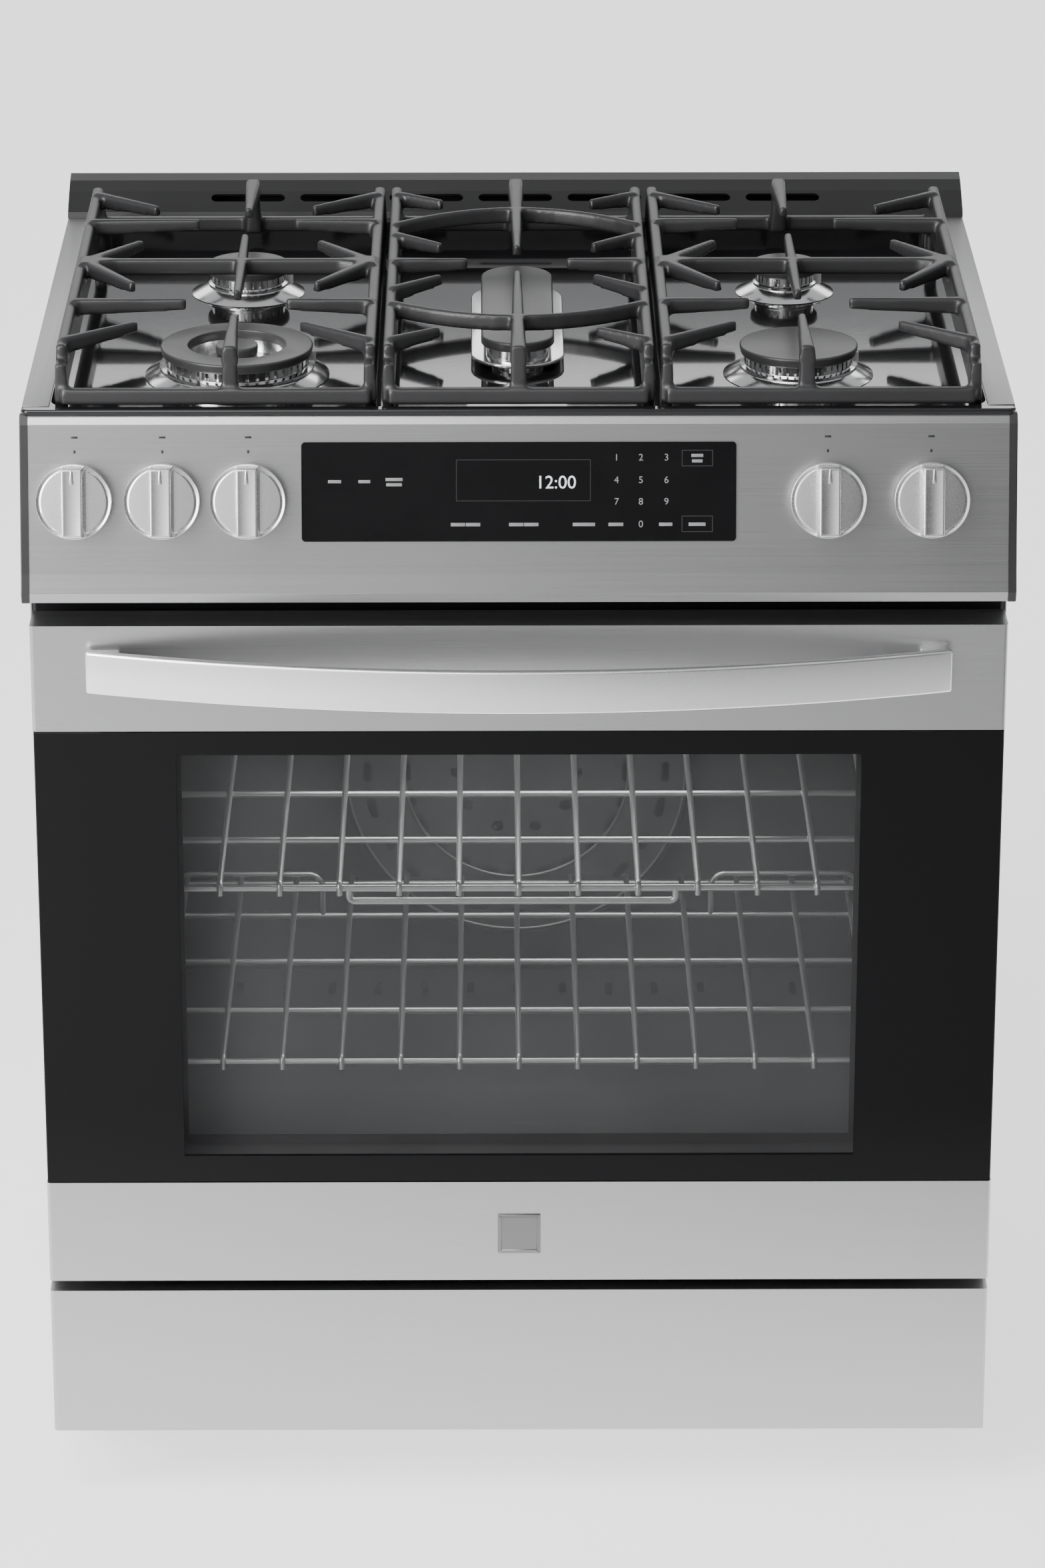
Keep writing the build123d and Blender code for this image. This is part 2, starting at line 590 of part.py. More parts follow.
def face_plane(x, z, out=0.0):
    """A plane on the fascia's sloping face at x and height z, moved out along its normal."""
    y = FASCIA_TOP[0] + (z - FASCIA_TOP[1]) * SLOPE.Y / SLOPE.Z
    origin = Vector(x, y, z) + OUTWARD * out
    return Plane(origin=origin, x_dir=(1, 0, 0), z_dir=OUTWARD)


FASCIA_PROFILE = [
    (-258, 910), (-262, 910), (-266.5, 903), FASCIA_LOW, (-296.5, 785), (-299, 778),
    (-297, FASCIA_FOOT), (-250.5, FASCIA_FOOT), (-250.5, 895.5), (-258, 895.5),
]
with BuildPart() as control_fascia:
    prism(FASCIA_PROFILE, (-374.6, 374.6))
    fillet(control_fascia.edges().filter_by(Axis.X).group_by(Axis.Y)[0], 1.2)
    prism(FASCIA_PROFILE, (-374.6, 374.6), inset=SHEET, mode=Mode.SUBTRACT)
    block((-374.6, 374.6), (-253, -249), (FASCIA_FOOT + 8, 896), Mode.SUBTRACT)
    for knob_x in KNOB_X:
        with BuildSketch(face_plane(knob_x, KNOB_Z)):
            Circle(7)
        extrude(amount=6, both=True, mode=Mode.SUBTRACT)
    with BuildSketch(face_plane(0, 853)):
        Rectangle(300, 56)
    extrude(amount=6, both=True, mode=Mode.SUBTRACT)
save(control_fascia, "control_fascia")

CAP_PROFILE = [(y - 1, z) if y < -260 else (y, z) for y, z in FASCIA_PROFILE]
for side, name in ((-1, "end_cap_left"), (1, "end_cap_right")):
    with BuildPart() as end_cap:
        prism(CAP_PROFILE, (side * 374.7, side * CAP_X))
        fillet(end_cap.faces().sort_by(Axis.X)[0 if side < 0 else -1].edges(), 0.9)
        prism(FASCIA_PROFILE, (side * 366, side * 374.7), inset=SHEET + 0.4)
        prism(FASCIA_PROFILE, (side * 366, side * 374.7), inset=SHEET + 3, mode=Mode.SUBTRACT)
    save(end_cap, name)

with BuildPart() as display_glass:
    with BuildSketch(face_plane(0, 853, 0.1)):
        RectangleRounded(332, 76, 3)
    extrude(amount=2.6)
    chamfer(display_glass.faces().sort_by(Axis.Y)[0].edges(), 0.8)
save(display_glass, "display_glass")

with BuildPart() as control_board:
    with BuildSketch(face_plane(0, 853, -16)):
        Rectangle(280, 50)
    extrude(amount=1.6)
    with BuildSketch(face_plane(0, 853, -14.4)):
        Rectangle(120, 34)
    extrude(amount=13)
    with BuildSketch(face_plane(0, 853, -16)):
        with GridLocations(90, 1, 3, 1):
            Rectangle(30, 26)
    extrude(amount=-14)
save(control_board, "control_board")

# ---- gas train: manifold, valves, feed tubes, regulator ----
VALVE_BACK = -52.0
MANIFOLD = face_plane(0, KNOB_Z, VALVE_BACK - 10.1).origin
RISER = (357.0, 290.0)    # (x, y) of the pipe that comes up from the regulator
ELBOW = 27.0              # reach of each elbow fitting from its corner
PIPE_R, FITTING_R = 10.0, 12.0
with BuildPart() as gas_manifold:
    corner = (RISER[0], MANIFOLD.Y, MANIFOLD.Z)
    turn = (*RISER, MANIFOLD.Z)
    rod((-370, MANIFOLD.Y, MANIFOLD.Z), (-360, MANIFOLD.Y, MANIFOLD.Z), FITTING_R)
    rod((-362, *corner[1:]), (corner[0] - ELBOW - SEAM, *corner[1:]), PIPE_R)
    rod((corner[0], corner[1] + ELBOW + SEAM, corner[2]),
        (turn[0], turn[1] - ELBOW - SEAM, turn[2]), PIPE_R)
    rod((*RISER, turn[2] - ELBOW - SEAM), (*RISER, 160), PIPE_R)
    bent_rod([(corner[0] - ELBOW, *corner[1:]), corner,
              (corner[0], corner[1] + ELBOW, corner[2])], 20, FITTING_R)
    bent_rod([(turn[0], turn[1] - ELBOW, turn[2]), turn, (*RISER, turn[2] - ELBOW)],
             20, FITTING_R)
save(gas_manifold, "gas_manifold")

with BuildPart() as gas_valves:
    for knob_x in KNOB_X:
        with BuildSketch(face_plane(knob_x, KNOB_Z, VALVE_BACK)):
            Rectangle(26, 26)
        extrude(amount=20)
        with BuildSketch(face_plane(knob_x, KNOB_Z, VALVE_BACK + 20)):
            Circle(9)
        extrude(amount=12)
        with BuildSketch(face_plane(knob_x, KNOB_Z, VALVE_BACK + 14)):
            Circle(STEM_R + 0.08)
        extrude(amount=20, mode=Mode.SUBTRACT)
save(gas_valves, "gas_valves")

with BuildPart() as gas_regulator:
    rod((*RISER, 110), (*RISER, 159.9), 16)
    block((333, 368), (276, 320), (122, 146))
    rod((345, 318, 135), (345, REAR_Y, 135), 10)
    rod((345, 340, 135), (345, REAR_Y + 1, 135), 7.5, Mode.SUBTRACT)
save(gas_regulator, "gas_regulator")

TUBE_Z = 868.0
FEEDS = zip(KNOB_X, ("left_rear", "left_front", "middle", "right_front", "right_rear"))
with BuildPart() as burner_tubes:
    for valve_x, burner in FEEDS:
        burner_x, burner_y, _ = BURNERS[burner]
        bent_rod([(valve_x, -238.6, 852), (valve_x, -238.6, TUBE_Z), (valve_x, burner_y, TUBE_Z),
                  (burner_x, burner_y, TUBE_Z), (burner_x, burner_y, 883.9)], 7, 4)
save(burner_tubes, "burner_tubes")

with BuildPart() as terminal_box:
    block((-60, 60), (BACK_IN + 0.1, 356), (120, 200))
    fillet(terminal_box.edges().filter_by(Axis.Z).group_by(Axis.Y)[-1], 4)
    rod((0, 345, 98), (0, 345, 120), 10)
    rod((0, 345, 97), (0, 345, 112), 4.5, Mode.SUBTRACT)
save(terminal_box, "terminal_box")

# ---- knobs on sprung push-in valve stems ----
KNOB_NAMES = ("left_outer", "left_middle", "left_inner", "right_inner", "right_outer")
for knob_x, name in zip(KNOB_X, KNOB_NAMES):
    with BuildPart() as stem:
        with BuildSketch(face_plane(knob_x, KNOB_Z, VALVE_BACK + 18)):
            Circle(STEM_R)
        extrude(amount=46)
        chamfer(stem.faces().sort_by(Axis.Y)[0].edges(), 0.6)
    save(stem, f"valve_stem_{name}")
    with BuildPart() as knob:
        with BuildSketch(face_plane(knob_x, KNOB_Z, 4)):
            Circle(KNOB_R)
        extrude(amount=13)
        fillet(knob.faces().sort_by(Axis.Y)[0].edges(), 3)
        with BuildSketch(face_plane(knob_x, KNOB_Z, 16)):
            RectangleRounded(19, 54, 5)
        extrude(amount=22)
        fillet(knob.faces().sort_by(Axis.Y)[0].edges(), 3)
        with BuildSketch(face_plane(knob_x, KNOB_Z, 4)):
            Circle(STEM_R + 0.08)
        extrude(amount=8.5, mode=Mode.SUBTRACT)
    save(knob, f"knob_{name}")
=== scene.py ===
# %% [markdown]
# # A freestanding gas range
#
# This lesson dresses a imported model of a kitchen range: brushed steel fronts, black glass,
# cast iron grates over aluminium burners, metal knobs and wire racks. The imported model holds
# every piece at its real size, in metres, with the front towards -Y. We load it first, and
# measure the boxes of its pieces, from which what we add is placed. Nothing that we add may
# make the range bigger.

import json
import math

import bmesh
import bpy
from mathutils import Matrix, Vector


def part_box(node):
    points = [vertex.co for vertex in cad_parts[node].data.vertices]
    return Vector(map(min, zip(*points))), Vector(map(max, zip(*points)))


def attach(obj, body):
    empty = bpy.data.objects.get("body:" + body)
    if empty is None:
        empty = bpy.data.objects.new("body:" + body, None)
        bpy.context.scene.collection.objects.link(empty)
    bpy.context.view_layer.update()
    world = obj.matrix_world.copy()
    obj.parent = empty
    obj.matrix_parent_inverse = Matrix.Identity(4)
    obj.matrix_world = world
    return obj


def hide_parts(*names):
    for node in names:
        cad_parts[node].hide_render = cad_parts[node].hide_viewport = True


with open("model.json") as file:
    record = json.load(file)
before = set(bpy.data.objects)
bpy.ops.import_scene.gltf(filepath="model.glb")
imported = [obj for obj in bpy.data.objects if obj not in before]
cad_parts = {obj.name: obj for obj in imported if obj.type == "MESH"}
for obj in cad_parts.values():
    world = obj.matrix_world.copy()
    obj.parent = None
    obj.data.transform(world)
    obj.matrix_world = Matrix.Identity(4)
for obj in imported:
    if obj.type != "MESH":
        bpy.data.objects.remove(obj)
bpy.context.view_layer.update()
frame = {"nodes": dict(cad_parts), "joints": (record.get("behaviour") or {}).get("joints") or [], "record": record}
nodes = frame["nodes"]
MM = 0.001

# %% [markdown]
# ## The camera
#
# The range is seen from in front and a little above, from far away with a long lens, so that
# its upright edges stay almost parallel and the top of the cooktop still shows. A nearer
# camera would make the drawer much narrower than the fascia.

# %% Place the camera
VIEW_FROM = Vector((-0.021, -4.544, 2.246))
LOOK_DOWN = math.radians(21.2)
LOOK_ASIDE = math.radians(0.32)

lens = bpy.data.cameras.new("camera")
lens.sensor_width = 36.0
lens.lens = 134.7
lens.shift_y = 0.017
lens.clip_end = 50.0
camera = bpy.data.objects.new("camera", lens)
camera.location = VIEW_FROM
camera.rotation_euler = (math.pi / 2 - LOOK_DOWN, 0.0, -LOOK_ASIDE)
bpy.context.collection.objects.link(camera)
bpy.context.scene.camera = camera
print("camera at", [round(value, 2) for value in VIEW_FROM])


# %% [markdown]
# ## Shader sums as plain expressions
#
# A finish is a network of nodes, and sums between them are easier to read as Python. A
# `Signal` stands for one socket: adding, multiplying or comparing signals adds the Math node
# that does it, and the reflected forms let a plain number stand on the left, as in
# `1 - mask`. A `Finish` is one material, with one method that makes any other node.

# %% Signal and Finish
class Signal:
    """One output socket of a finish, used like a number."""

    def __init__(self, finish, socket):
        self.finish, self.socket = finish, socket

    def maths(self, operation, first, second=0.0):
        settings = {"operation": operation}
        return self.finish.node("ShaderNodeMath", settings, {0: first, 1: second})

    def __add__(self, other):
        return self.maths("ADD", self, other)

    def __sub__(self, other):
        return self.maths("SUBTRACT", self, other)

    def __rsub__(self, other):
        return self.maths("SUBTRACT", other, self)

    def __mul__(self, other):
        return self.maths("MULTIPLY", self, other)

    def __lt__(self, other):
        return self.maths("LESS_THAN", self, other)

    def __abs__(self):
        return self.maths("ABSOLUTE", self)

    __radd__ = __add__
    __rmul__ = __mul__


class Finish:
    """One material: its shader, its patterns, and the nodes between them."""

    def __init__(self, name, **constants):
        self.material = bpy.data.materials.new(name)
        self.material.use_nodes = True
        self.tree = self.material.node_tree
        self.shader = self.tree.nodes["Principled BSDF"]
        self.feed(**constants)

    def plug(self, socket, value):
        """Link a signal to a socket, or set a plain value on it."""
        if isinstance(value, Signal):
            self.tree.links.new(value.socket, socket)
        elif socket.type == "RGBA" and len(value) == 3:
            socket.default_value = (*value, 1.0)
        else:
            socket.default_value = value

    def feed(self, **values):
        """Set or link the shader's own sockets: base_color=..., roughness=..."""
        for key, value in values.items():
            self.plug(self.shader.inputs[key.replace("_", " ").title()], value)
        return self

    def node(self, kind, settings=None, sockets=None, output=0):
        """Make a node, with its settings first and then its sockets."""
        made = self.tree.nodes.new(kind)
        for key, value in (settings or {}).items():
            setattr(made, key, value)
        for key, value in (sockets or {}).items():
            self.plug(made.inputs[key], value)
        return Signal(self, made.outputs[output])

    def place(self, stretch):
        """Object coordinates in metres, stretched for a pattern."""
        here = self.node("ShaderNodeTexCoord", output="Object")
        return self.node("ShaderNodeMapping", None, {"Vector": here, "Scale": stretch})

    def axis(self, name):
        """One coordinate of the object, in metres."""
        here = self.node("ShaderNodeTexCoord", output="Object")
        return self.node("ShaderNodeSeparateXYZ", None, {0: here}, output=name)

    def noise(self, scale, detail=3.0, stretch=(1.0, 1.0, 1.0), rough=0.5):
        """Soft random patches, from 0 to 1."""
        sockets = {"Vector": self.place(stretch), "Scale": scale, "Detail": detail}
        sockets["Roughness"] = rough
        return self.node("ShaderNodeTexNoise", None, sockets)

    def mix(self, first, second, factor):
        """One colour fading into another."""
        settings = {"data_type": "RGBA"}
        return self.node("ShaderNodeMix", settings, {0: factor, 6: first, 7: second}, output=2)

    def clamp(self, value):
        """A value held between 0 and 1."""
        return self.node("ShaderNodeClamp", None, {0: value})

    def bump(self, height, strength=0.3, distance=0.001):
        """Small relief that only changes how light falls."""
        sockets = {"Height": height, "Strength": strength, "Distance": distance}
        self.feed(normal=self.node("ShaderNodeBump", None, sockets))
        return self


print("a finish is ready to be mixed")

# %% [markdown]
# ## The studio
#
# Steel has hardly any colour of its own: what we see on it is the room. So the room is built
# first: a white glowing floor, a pale even sky, and a soft panel on the left that makes the
# steel run from bright to darker across the door. The upright glass mirrors the floor in
# front of the range, and the sloping fascia mirrors what stands behind the camera, so that
# stretch of floor and a card behind the camera both fade from left to right. The level deck
# mirrors what hangs behind the range: a bright veil, cut off low enough that only the front
# half of the deck catches it.

# %% Panels and backdrops
def soft_panel(name, place, target, size, power):
    """A large rectangular light that looks from one point to another."""
    light = bpy.data.lights.new(name, "AREA")
    light.shape = "RECTANGLE"
    light.size, light.size_y = size
    light.energy = power
    panel = bpy.data.objects.new(name, light)
    panel.location = place
    panel.rotation_euler = (Vector(target) - Vector(place)).to_track_quat("-Z", "Y").to_euler()
    bpy.context.collection.objects.link(panel)


STUDIO_SIZE = 20.0
UPRIGHT = (math.pi / 2, 0, 0)


def backdrop(name, finish, stretch=(1, 1, 1), **options):
    """A flat sheet of the studio, which isn't part of the range."""
    bpy.ops.object.select_all(action="DESELECT")
    bpy.ops.mesh.primitive_plane_add(size=STUDIO_SIZE, **options)
    sheet = bpy.context.object
    sheet.scale = stretch
    sheet.name = name
    sheet.data.materials.append(finish.material)


print("a backdrop is", STUDIO_SIZE, "m wide")

# %% Floor, card, veil and sky
paper = Finish("floor_paper", roughness=0.7, emission_strength=1.0)
near = paper.clamp((paper.axis("Y") + 0.45) * -1.6)
aside = paper.clamp(paper.axis("X") * 0.7 + 0.5)
fibre = paper.noise(3.0, 2.0)
sweep = paper.mix((0.26, 0.26, 0.26), (0.03, 0.03, 0.03), aside)
paper.feed(emission_color=paper.mix((1.3, 1.3, 1.3), sweep, near))
paper.feed(base_color=paper.mix((0.8, 0.8, 0.8), (0.55, 0.55, 0.55), near * aside + fibre * 0.02))
backdrop("studio_floor", paper)

cloth = Finish("card_cloth", roughness=0.9, emission_strength=1.0)
across = cloth.clamp(cloth.axis("X") * 0.3 + 0.55 + (cloth.noise(2.0) - 0.5) * 0.04)
cloth.feed(base_color=cloth.mix((0.6, 0.6, 0.6), (0.08, 0.08, 0.08), across))
cloth.feed(emission_color=cloth.mix((0.85, 0.85, 0.85), (0.07, 0.07, 0.07), across))
backdrop("studio_card", cloth, location=(0, -9.0, 1.0), rotation=UPRIGHT)

veil = Finish("high_veil", roughness=0.9, emission_strength=1.0)
ripple = veil.noise(1.5, 2.0)
veil.feed(base_color=(0.7, 0.7, 0.7), roughness=0.8 + ripple * 0.1)
veil.feed(emission_color=veil.mix((1.7, 1.7, 1.7), (1.9, 1.9, 1.9), ripple))
backdrop("high_veil", veil, (1, 0.17, 1), location=(0, 9.4, 5.45), rotation=UPRIGHT)

sky = bpy.data.worlds.new("studio_sky")
bpy.context.scene.world = sky
sky.use_nodes = True
air = sky.node_tree.nodes["Background"].inputs
air["Color"].default_value = (0.97, 0.98, 1.0, 1.0)
air["Strength"].default_value = 0.55
print("the studio has", len(bpy.data.materials), "papers and cloths, and a sky")

# %% Soft panels
soft_panel("panel_left", (-2.0, -2.0, 1.8), (0, 0, 0.6), (1.4, 1.8), 110)
soft_panel("panel_top", (-1.0, -1.5, 3.2), (0, 0, 0.9), (2.0, 1.0), 45)
soft_panel("oven_glow", (0.0, -0.02, 0.672), (0, -0.02, 0.3), (0.36, 0.2), 1.1)

# %% [markdown]
# ## Brushed steel
#
# Real appliance steel is rolled and then rubbed along one direction, so it is smooth along
# the grain and finely scratched across it. We stretch a noise along X until it becomes
# hair-thin lines, and let it change the roughness a lot, the relief a little and the colour
# hardly at all. A second, far larger noise keeps the wide panels from looking printed.

# %% Brushed steel and satin metal
def brushed_steel(name, tone=0.45, rough=0.3, grain=(1.5, 900.0, 900.0)):
    """Steel with hair lines, which run the way that the grain is stretched."""
    steel = Finish(name, metallic=1.0)
    lines = steel.noise(1.0, 4.0, grain, rough=0.7)
    fine = steel.noise(1.0, 2.0, (grain[0] * 3, grain[1] * 2.6, grain[2] * 2.6))
    cloud = steel.noise(3.5, 2.0)
    shade = 0.5 + (lines - 0.5) * 0.35 + (cloud - 0.5) * 0.25
    low, high = [tone * 0.9] * 3, [tone * 1.08, tone * 1.08, tone * 1.09]
    steel.feed(base_color=steel.mix(low, high, shade))
    steel.feed(roughness=rough + (fine - 0.5) * 0.16 + (cloud - 0.5) * 0.05)
    return steel.bump(lines * 0.6 + fine * 0.4, 0.12, 0.0002)


def satin_metal(name, tone, rough, speckle=900.0):
    """Cast or turned metal with a fine even grain."""
    metal = Finish(name, metallic=1.0)
    grain = metal.noise(speckle, 3.0)
    cloud = metal.noise(22.0, 3.0)
    low, high = [tone * 0.88] * 3, [tone * 1.06] * 3
    metal.feed(base_color=metal.mix(low, high, 0.3 + grain * 0.3 + cloud * 0.3))
    metal.feed(roughness=rough + (grain - 0.5) * 0.12 + (cloud - 0.5) * 0.08)
    return metal.bump(grain, 0.06, 0.0002)


finishes = {
    "steel": brushed_steel("range_steel"),
    "handle_steel": brushed_steel("handle_steel", 0.95, 0.3, (3.0, 1400.0, 1400.0)),
    "knob_metal": satin_metal("knob_metal", 0.82, 0.26),
    "zinc_steel": satin_metal("zinc_sheet", 0.5, 0.4, 300.0),
    "burner_metal": satin_metal("cast_aluminium", 0.8, 0.16, 700.0),
    "regulator_metal": satin_metal("die_cast_body", 0.5, 0.45, 500.0),
    "rack_wire": satin_metal("bright_wire", 0.92, 0.36, 1200.0),
    "brass": satin_metal("turned_brass", 0.5, 0.3),
}
print("mixed", len(finishes), "metals")

# %% [markdown]
# ## Enamel, iron, plastic and cloth
#
# Porcelain enamel is glass fused on steel: deep colour, a sharp coat and a faint orange-peel
# waviness. Cast iron keeps the sand of its mould, so its relief is coarse and its gloss is
# broken. Moulded plastic has a fine leathery grain. Each of these is a dark or pale base
# under its own two noises, so one function serves them all.

# %% Grained finishes
def grained(name, tone, rough, grain, relief, coat=0.0, spread=0.2):
    """A painted, enamelled, moulded or cast surface. The grain is in patches per metre."""
    paint = Finish(name, coat_weight=coat, coat_roughness=0.04)
    fine = paint.noise(grain, 4.0, rough=0.6)
    cloud = paint.noise(14.0, 3.0)
    low, high = [part * (1 - spread) for part in tone], [part * (1 + spread) for part in tone]
    paint.feed(base_color=paint.mix(low, high, fine * 0.5 + cloud * 0.5))
    paint.feed(roughness=rough * (1.0 + (fine - 0.5) * 0.4 + (cloud - 0.5) * 0.3))
    return paint.bump(fine, relief, 0.0004)


finishes.update({
    "painted_body": grained("grey_cabinet_paint", (0.17, 0.17, 0.175), 0.42, 900.0, 0.12),
    "black_enamel": grained("black_enamel", (0.01, 0.01, 0.011), 0.06, 240.0, 0.02, 0.3),
    "cap_enamel": grained("cap_enamel", (0.045, 0.045, 0.046), 0.36, 700.0, 0.1),
    "grate_iron": grained("cast_iron", (0.02, 0.02, 0.021), 0.36, 650.0, 0.25, spread=0.35),
    "dark_plastic": grained("black_moulding", (0.02, 0.02, 0.021), 0.4, 1200.0, 0.12),
    "foot_plastic": grained("foot_moulding", (0.025, 0.025, 0.026), 0.5, 900.0, 0.15),
    "gasket": grained("braided_glass_fibre", (0.2, 0.2, 0.19), 0.85, 420.0, 0.8),
    "insulation": grained("glass_wool", (0.72, 0.64, 0.35), 0.95, 160.0, 1.0),
})
print("finishes so far:", ", ".join(sorted(finishes)))

# %% [markdown]
# ## Glass
#
# The oven door's glass is printed black on its back around a clear window, so one plate has
# two depths. We find the window by the plate's own coordinates, with a soft printed edge,
# and let only the window pass light. The display is the same black glass with nothing to
# see through.

# %% Door and display glass
GLASS_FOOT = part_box("door_glass")[0].z
WINDOW_HALF = 265.5 * MM
WINDOW_MIDDLE = GLASS_FOOT + 193 * MM
WINDOW_RISE = 170 * MM
GLASS_GLOSS = 0.16


def door_glass():
    """Black printed glass with a clear tinted window."""
    glass = Finish("door_glass")
    glass.shader.inputs["Specular IOR Level"].default_value = GLASS_GLOSS
    inside_x = abs(glass.axis("X")) < WINDOW_HALF
    inside_z = abs(glass.axis("Z") - WINDOW_MIDDLE) < WINDOW_RISE
    window = inside_x * inside_z
    smudge = glass.noise(9.0, 3.0)
    glass.feed(base_color=glass.mix((0.003, 0.003, 0.0035), (0.008, 0.008, 0.009), window))
    glass.feed(alpha=1.0 - window * 0.72)
    glass.feed(roughness=0.03 + smudge * 0.03)
    return glass


def black_glass(name):
    """Glossy black glass with nothing behind it."""
    glass = Finish(name)
    glass.shader.inputs["Specular IOR Level"].default_value = GLASS_GLOSS
    smudge = glass.noise(30.0, 3.0)
    glass.feed(base_color=glass.mix((0.003, 0.003, 0.0035), (0.006, 0.006, 0.0065), smudge))
    glass.feed(roughness=0.08 + smudge * 0.06)
    return glass


def clear_glass(name):
    """The inner pane: clear, with a faint bloom from heat."""
    glass = Finish(name)
    bloom = glass.noise(6.0, 2.0)
    glass.feed(base_color=glass.mix((0.5, 0.52, 0.52), (0.7, 0.72, 0.72), bloom))
    glass.feed(alpha=0.08 + bloom * 0.05, roughness=0.05 + bloom * 0.04)
    return glass


finishes["door_glass"] = door_glass()
finishes["display_glass"] = black_glass("display_glass")
finishes["ceramic"] = grained("white_ceramic", (0.75, 0.74, 0.7), 0.35, 600.0, 0.05)
finishes["clear_glass"] = clear_glass("inner_pane")
print("window is", round(2 * WINDOW_HALF, 3), "by", round(2 * WINDOW_RISE, 3), "m")

# %% [markdown]
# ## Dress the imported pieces
#
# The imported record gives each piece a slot, and our finishes carry the same slot names, so
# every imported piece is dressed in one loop. A few pieces share a slot but look different on
# a real range: the oven's inside is enamelled like the cooktop, but dull with a grey
# speckle, and the vent trim is satin instead of glossy. Those get finishes of their own.

# %% Assign finishes by slot
def wear(piece, finish):
    """Put one finish on a piece."""
    piece.data.materials.clear()
    piece.data.materials.append(finish.material)
    return piece


finishes["satin_black"] = grained("satin_black", (0.012, 0.012, 0.0125), 0.4, 700.0, 0.08)
finishes["badge"] = satin_metal("badge_metal", 0.22, 0.3)
finishes["strip_steel"] = brushed_steel("strip_steel", 0.34, 0.36, (900.0, 1.5, 900.0))
finishes["oven_enamel"] = grained("oven_enamel", (0.09, 0.09, 0.092), 0.34, 380.0, 0.1,
                                  0.2, spread=0.5)
OVEN_PIECES = ("oven_cavity", "oven_floor", "fan_cover", "door_liner", "door_frame")
own_finish = dict.fromkeys(OVEN_PIECES, "oven_enamel")
own_finish["vent_trim"] = "satin_black"
for row in frame["record"]["subparts"]:
    kind = own_finish.get(row["node"], row["material_slot"])
    wear(nodes[row["node"]], finishes[kind])

# %% [markdown]
# ## The modelling bench
#
# Every new piece starts as a primitive and is shaped with the tools that a modeller uses by
# hand. In a script the selection is the hard part: an operator acts on all that is selected,
# so each helper clears the selection first and then picks faces by where they are and which
# way they look.

# %% Helpers for modelling
def leave_edit_mode():
    """Go back to object mode, if a piece is still open."""
    if bpy.context.object and bpy.context.object.mode == "EDIT":
        bpy.ops.object.mode_set(mode="OBJECT")


def start(name, kind, **options):
    """Add one primitive, alone and selected, with its place and size in its mesh."""
    leave_edit_mode()
    bpy.ops.object.select_all(action="DESELECT")
    getattr(bpy.ops.mesh, f"primitive_{kind}_add")(**options)
    bpy.ops.object.transform_apply(location=True, rotation=True, scale=True)
    return rename(bpy.context.object, name)


def rename(piece, name):
    """Give a piece and its mesh one name."""
    piece.name = name
    piece.data.name = name
    return piece


def alone(piece):
    """Close the piece and select it by itself."""
    leave_edit_mode()
    bpy.ops.object.select_all(action="DESELECT")
    piece.select_set(True)
    bpy.context.view_layer.objects.active = piece


def pick_faces(piece, test):
    """Go into edit mode and select the faces whose centre and normal pass a test."""
    bpy.ops.object.mode_set(mode="EDIT")
    bpy.ops.mesh.select_mode(type="FACE")
    bpy.ops.mesh.select_all(action="DESELECT")
    shape = bmesh.from_edit_mesh(piece.data)
    for face in shape.faces:
        face.select_set(bool(test(face.calc_center_median(), face.normal)))
    shape.select_flush_mode()
    bmesh.update_edit_mesh(piece.data)


def use(piece, kind, **settings):
    """Add a modifier with its settings and apply it at once."""
    alone(piece)
    modifier = piece.modifiers.new(kind.lower(), kind)
    for key, value in settings.items():
        setattr(modifier, key, value)
    bpy.ops.object.modifier_apply(modifier=modifier.name)
    return piece


def soften(piece, width, segments=3, angle=35):
    """Round every edge that turns more than the angle."""
    return use(piece, "BEVEL", width=width, segments=segments, limit_method="ANGLE",
               angle_limit=math.radians(angle))


def settle(piece, angle=40):
    """Apply the piece's place to its mesh and smooth its faces up to the angle."""
    alone(piece)
    bpy.ops.object.transform_apply(location=True, rotation=True, scale=True)
    bpy.ops.object.shade_smooth_by_angle(angle=math.radians(angle))
    return piece


def join(name, pieces):
    """Make one piece of several."""
    alone(pieces[0])
    for piece in pieces[1:]:
        piece.select_set(True)
    if len(pieces) > 1:
        bpy.ops.object.join()
    return rename(pieces[0], name)


def copy_to(piece, name, matrix):
    """A copy with its own mesh, moved by a matrix."""
    twin = piece.copy()
    twin.data = piece.data.copy()
    twin.data.transform(matrix)
    bpy.context.collection.objects.link(twin)
    return rename(twin, name)


def fit_out(piece, body, slot, finish=None, instead_of=()):
    """Dress a finished piece and hang it on its body."""
    wear(piece, finishes[finish or slot])
    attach(piece, body)
    if instead_of:
        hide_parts(*instead_of)
    return piece


def faces_of(*pieces):
    """How many faces some pieces have."""
    return sum(len(piece.data.polygons) for piece in pieces)


print("the bench is ready")

# %% [markdown]
# ## Cast iron grates
#
# A grate is one casting: tall side rails, low bars across the ends, and fingers that reach
# over each burner to hold a pan. A casting has no sharp edge and no seam where two bars
# meet, and that is hard to get by bevelling. So we lay the bars out as separate tapered
# blocks, melt them into one skin with a voxel remesh, and relax the skin a little: every
# meeting gets the small fillet that sand moulds leave.

# %% One bar, and one grate's frame
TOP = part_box("grate_left")[1].z
FINGER_LOW = TOP - 13 * MM
RAIL_TOP = TOP - 3 * MM
FRONT_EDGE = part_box("grate_left")[0].y + 5.5 * MM
REAR_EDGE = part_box("grate_left")[1].y - 5.5 * MM
LOW_BAR = (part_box("cooktop")[1].z + 0.8 * MM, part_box("cooktop")[1].z + 13 * MM)
BURNER_X = 220.5 * MM
BURNER_Y = (-119 * MM, 113 * MM)
CROSS_Y = -5 * MM
SIDE_RAILS = (113.5 * MM, 349.5 * MM)
CENTRE_RAIL = 99.5 * MM


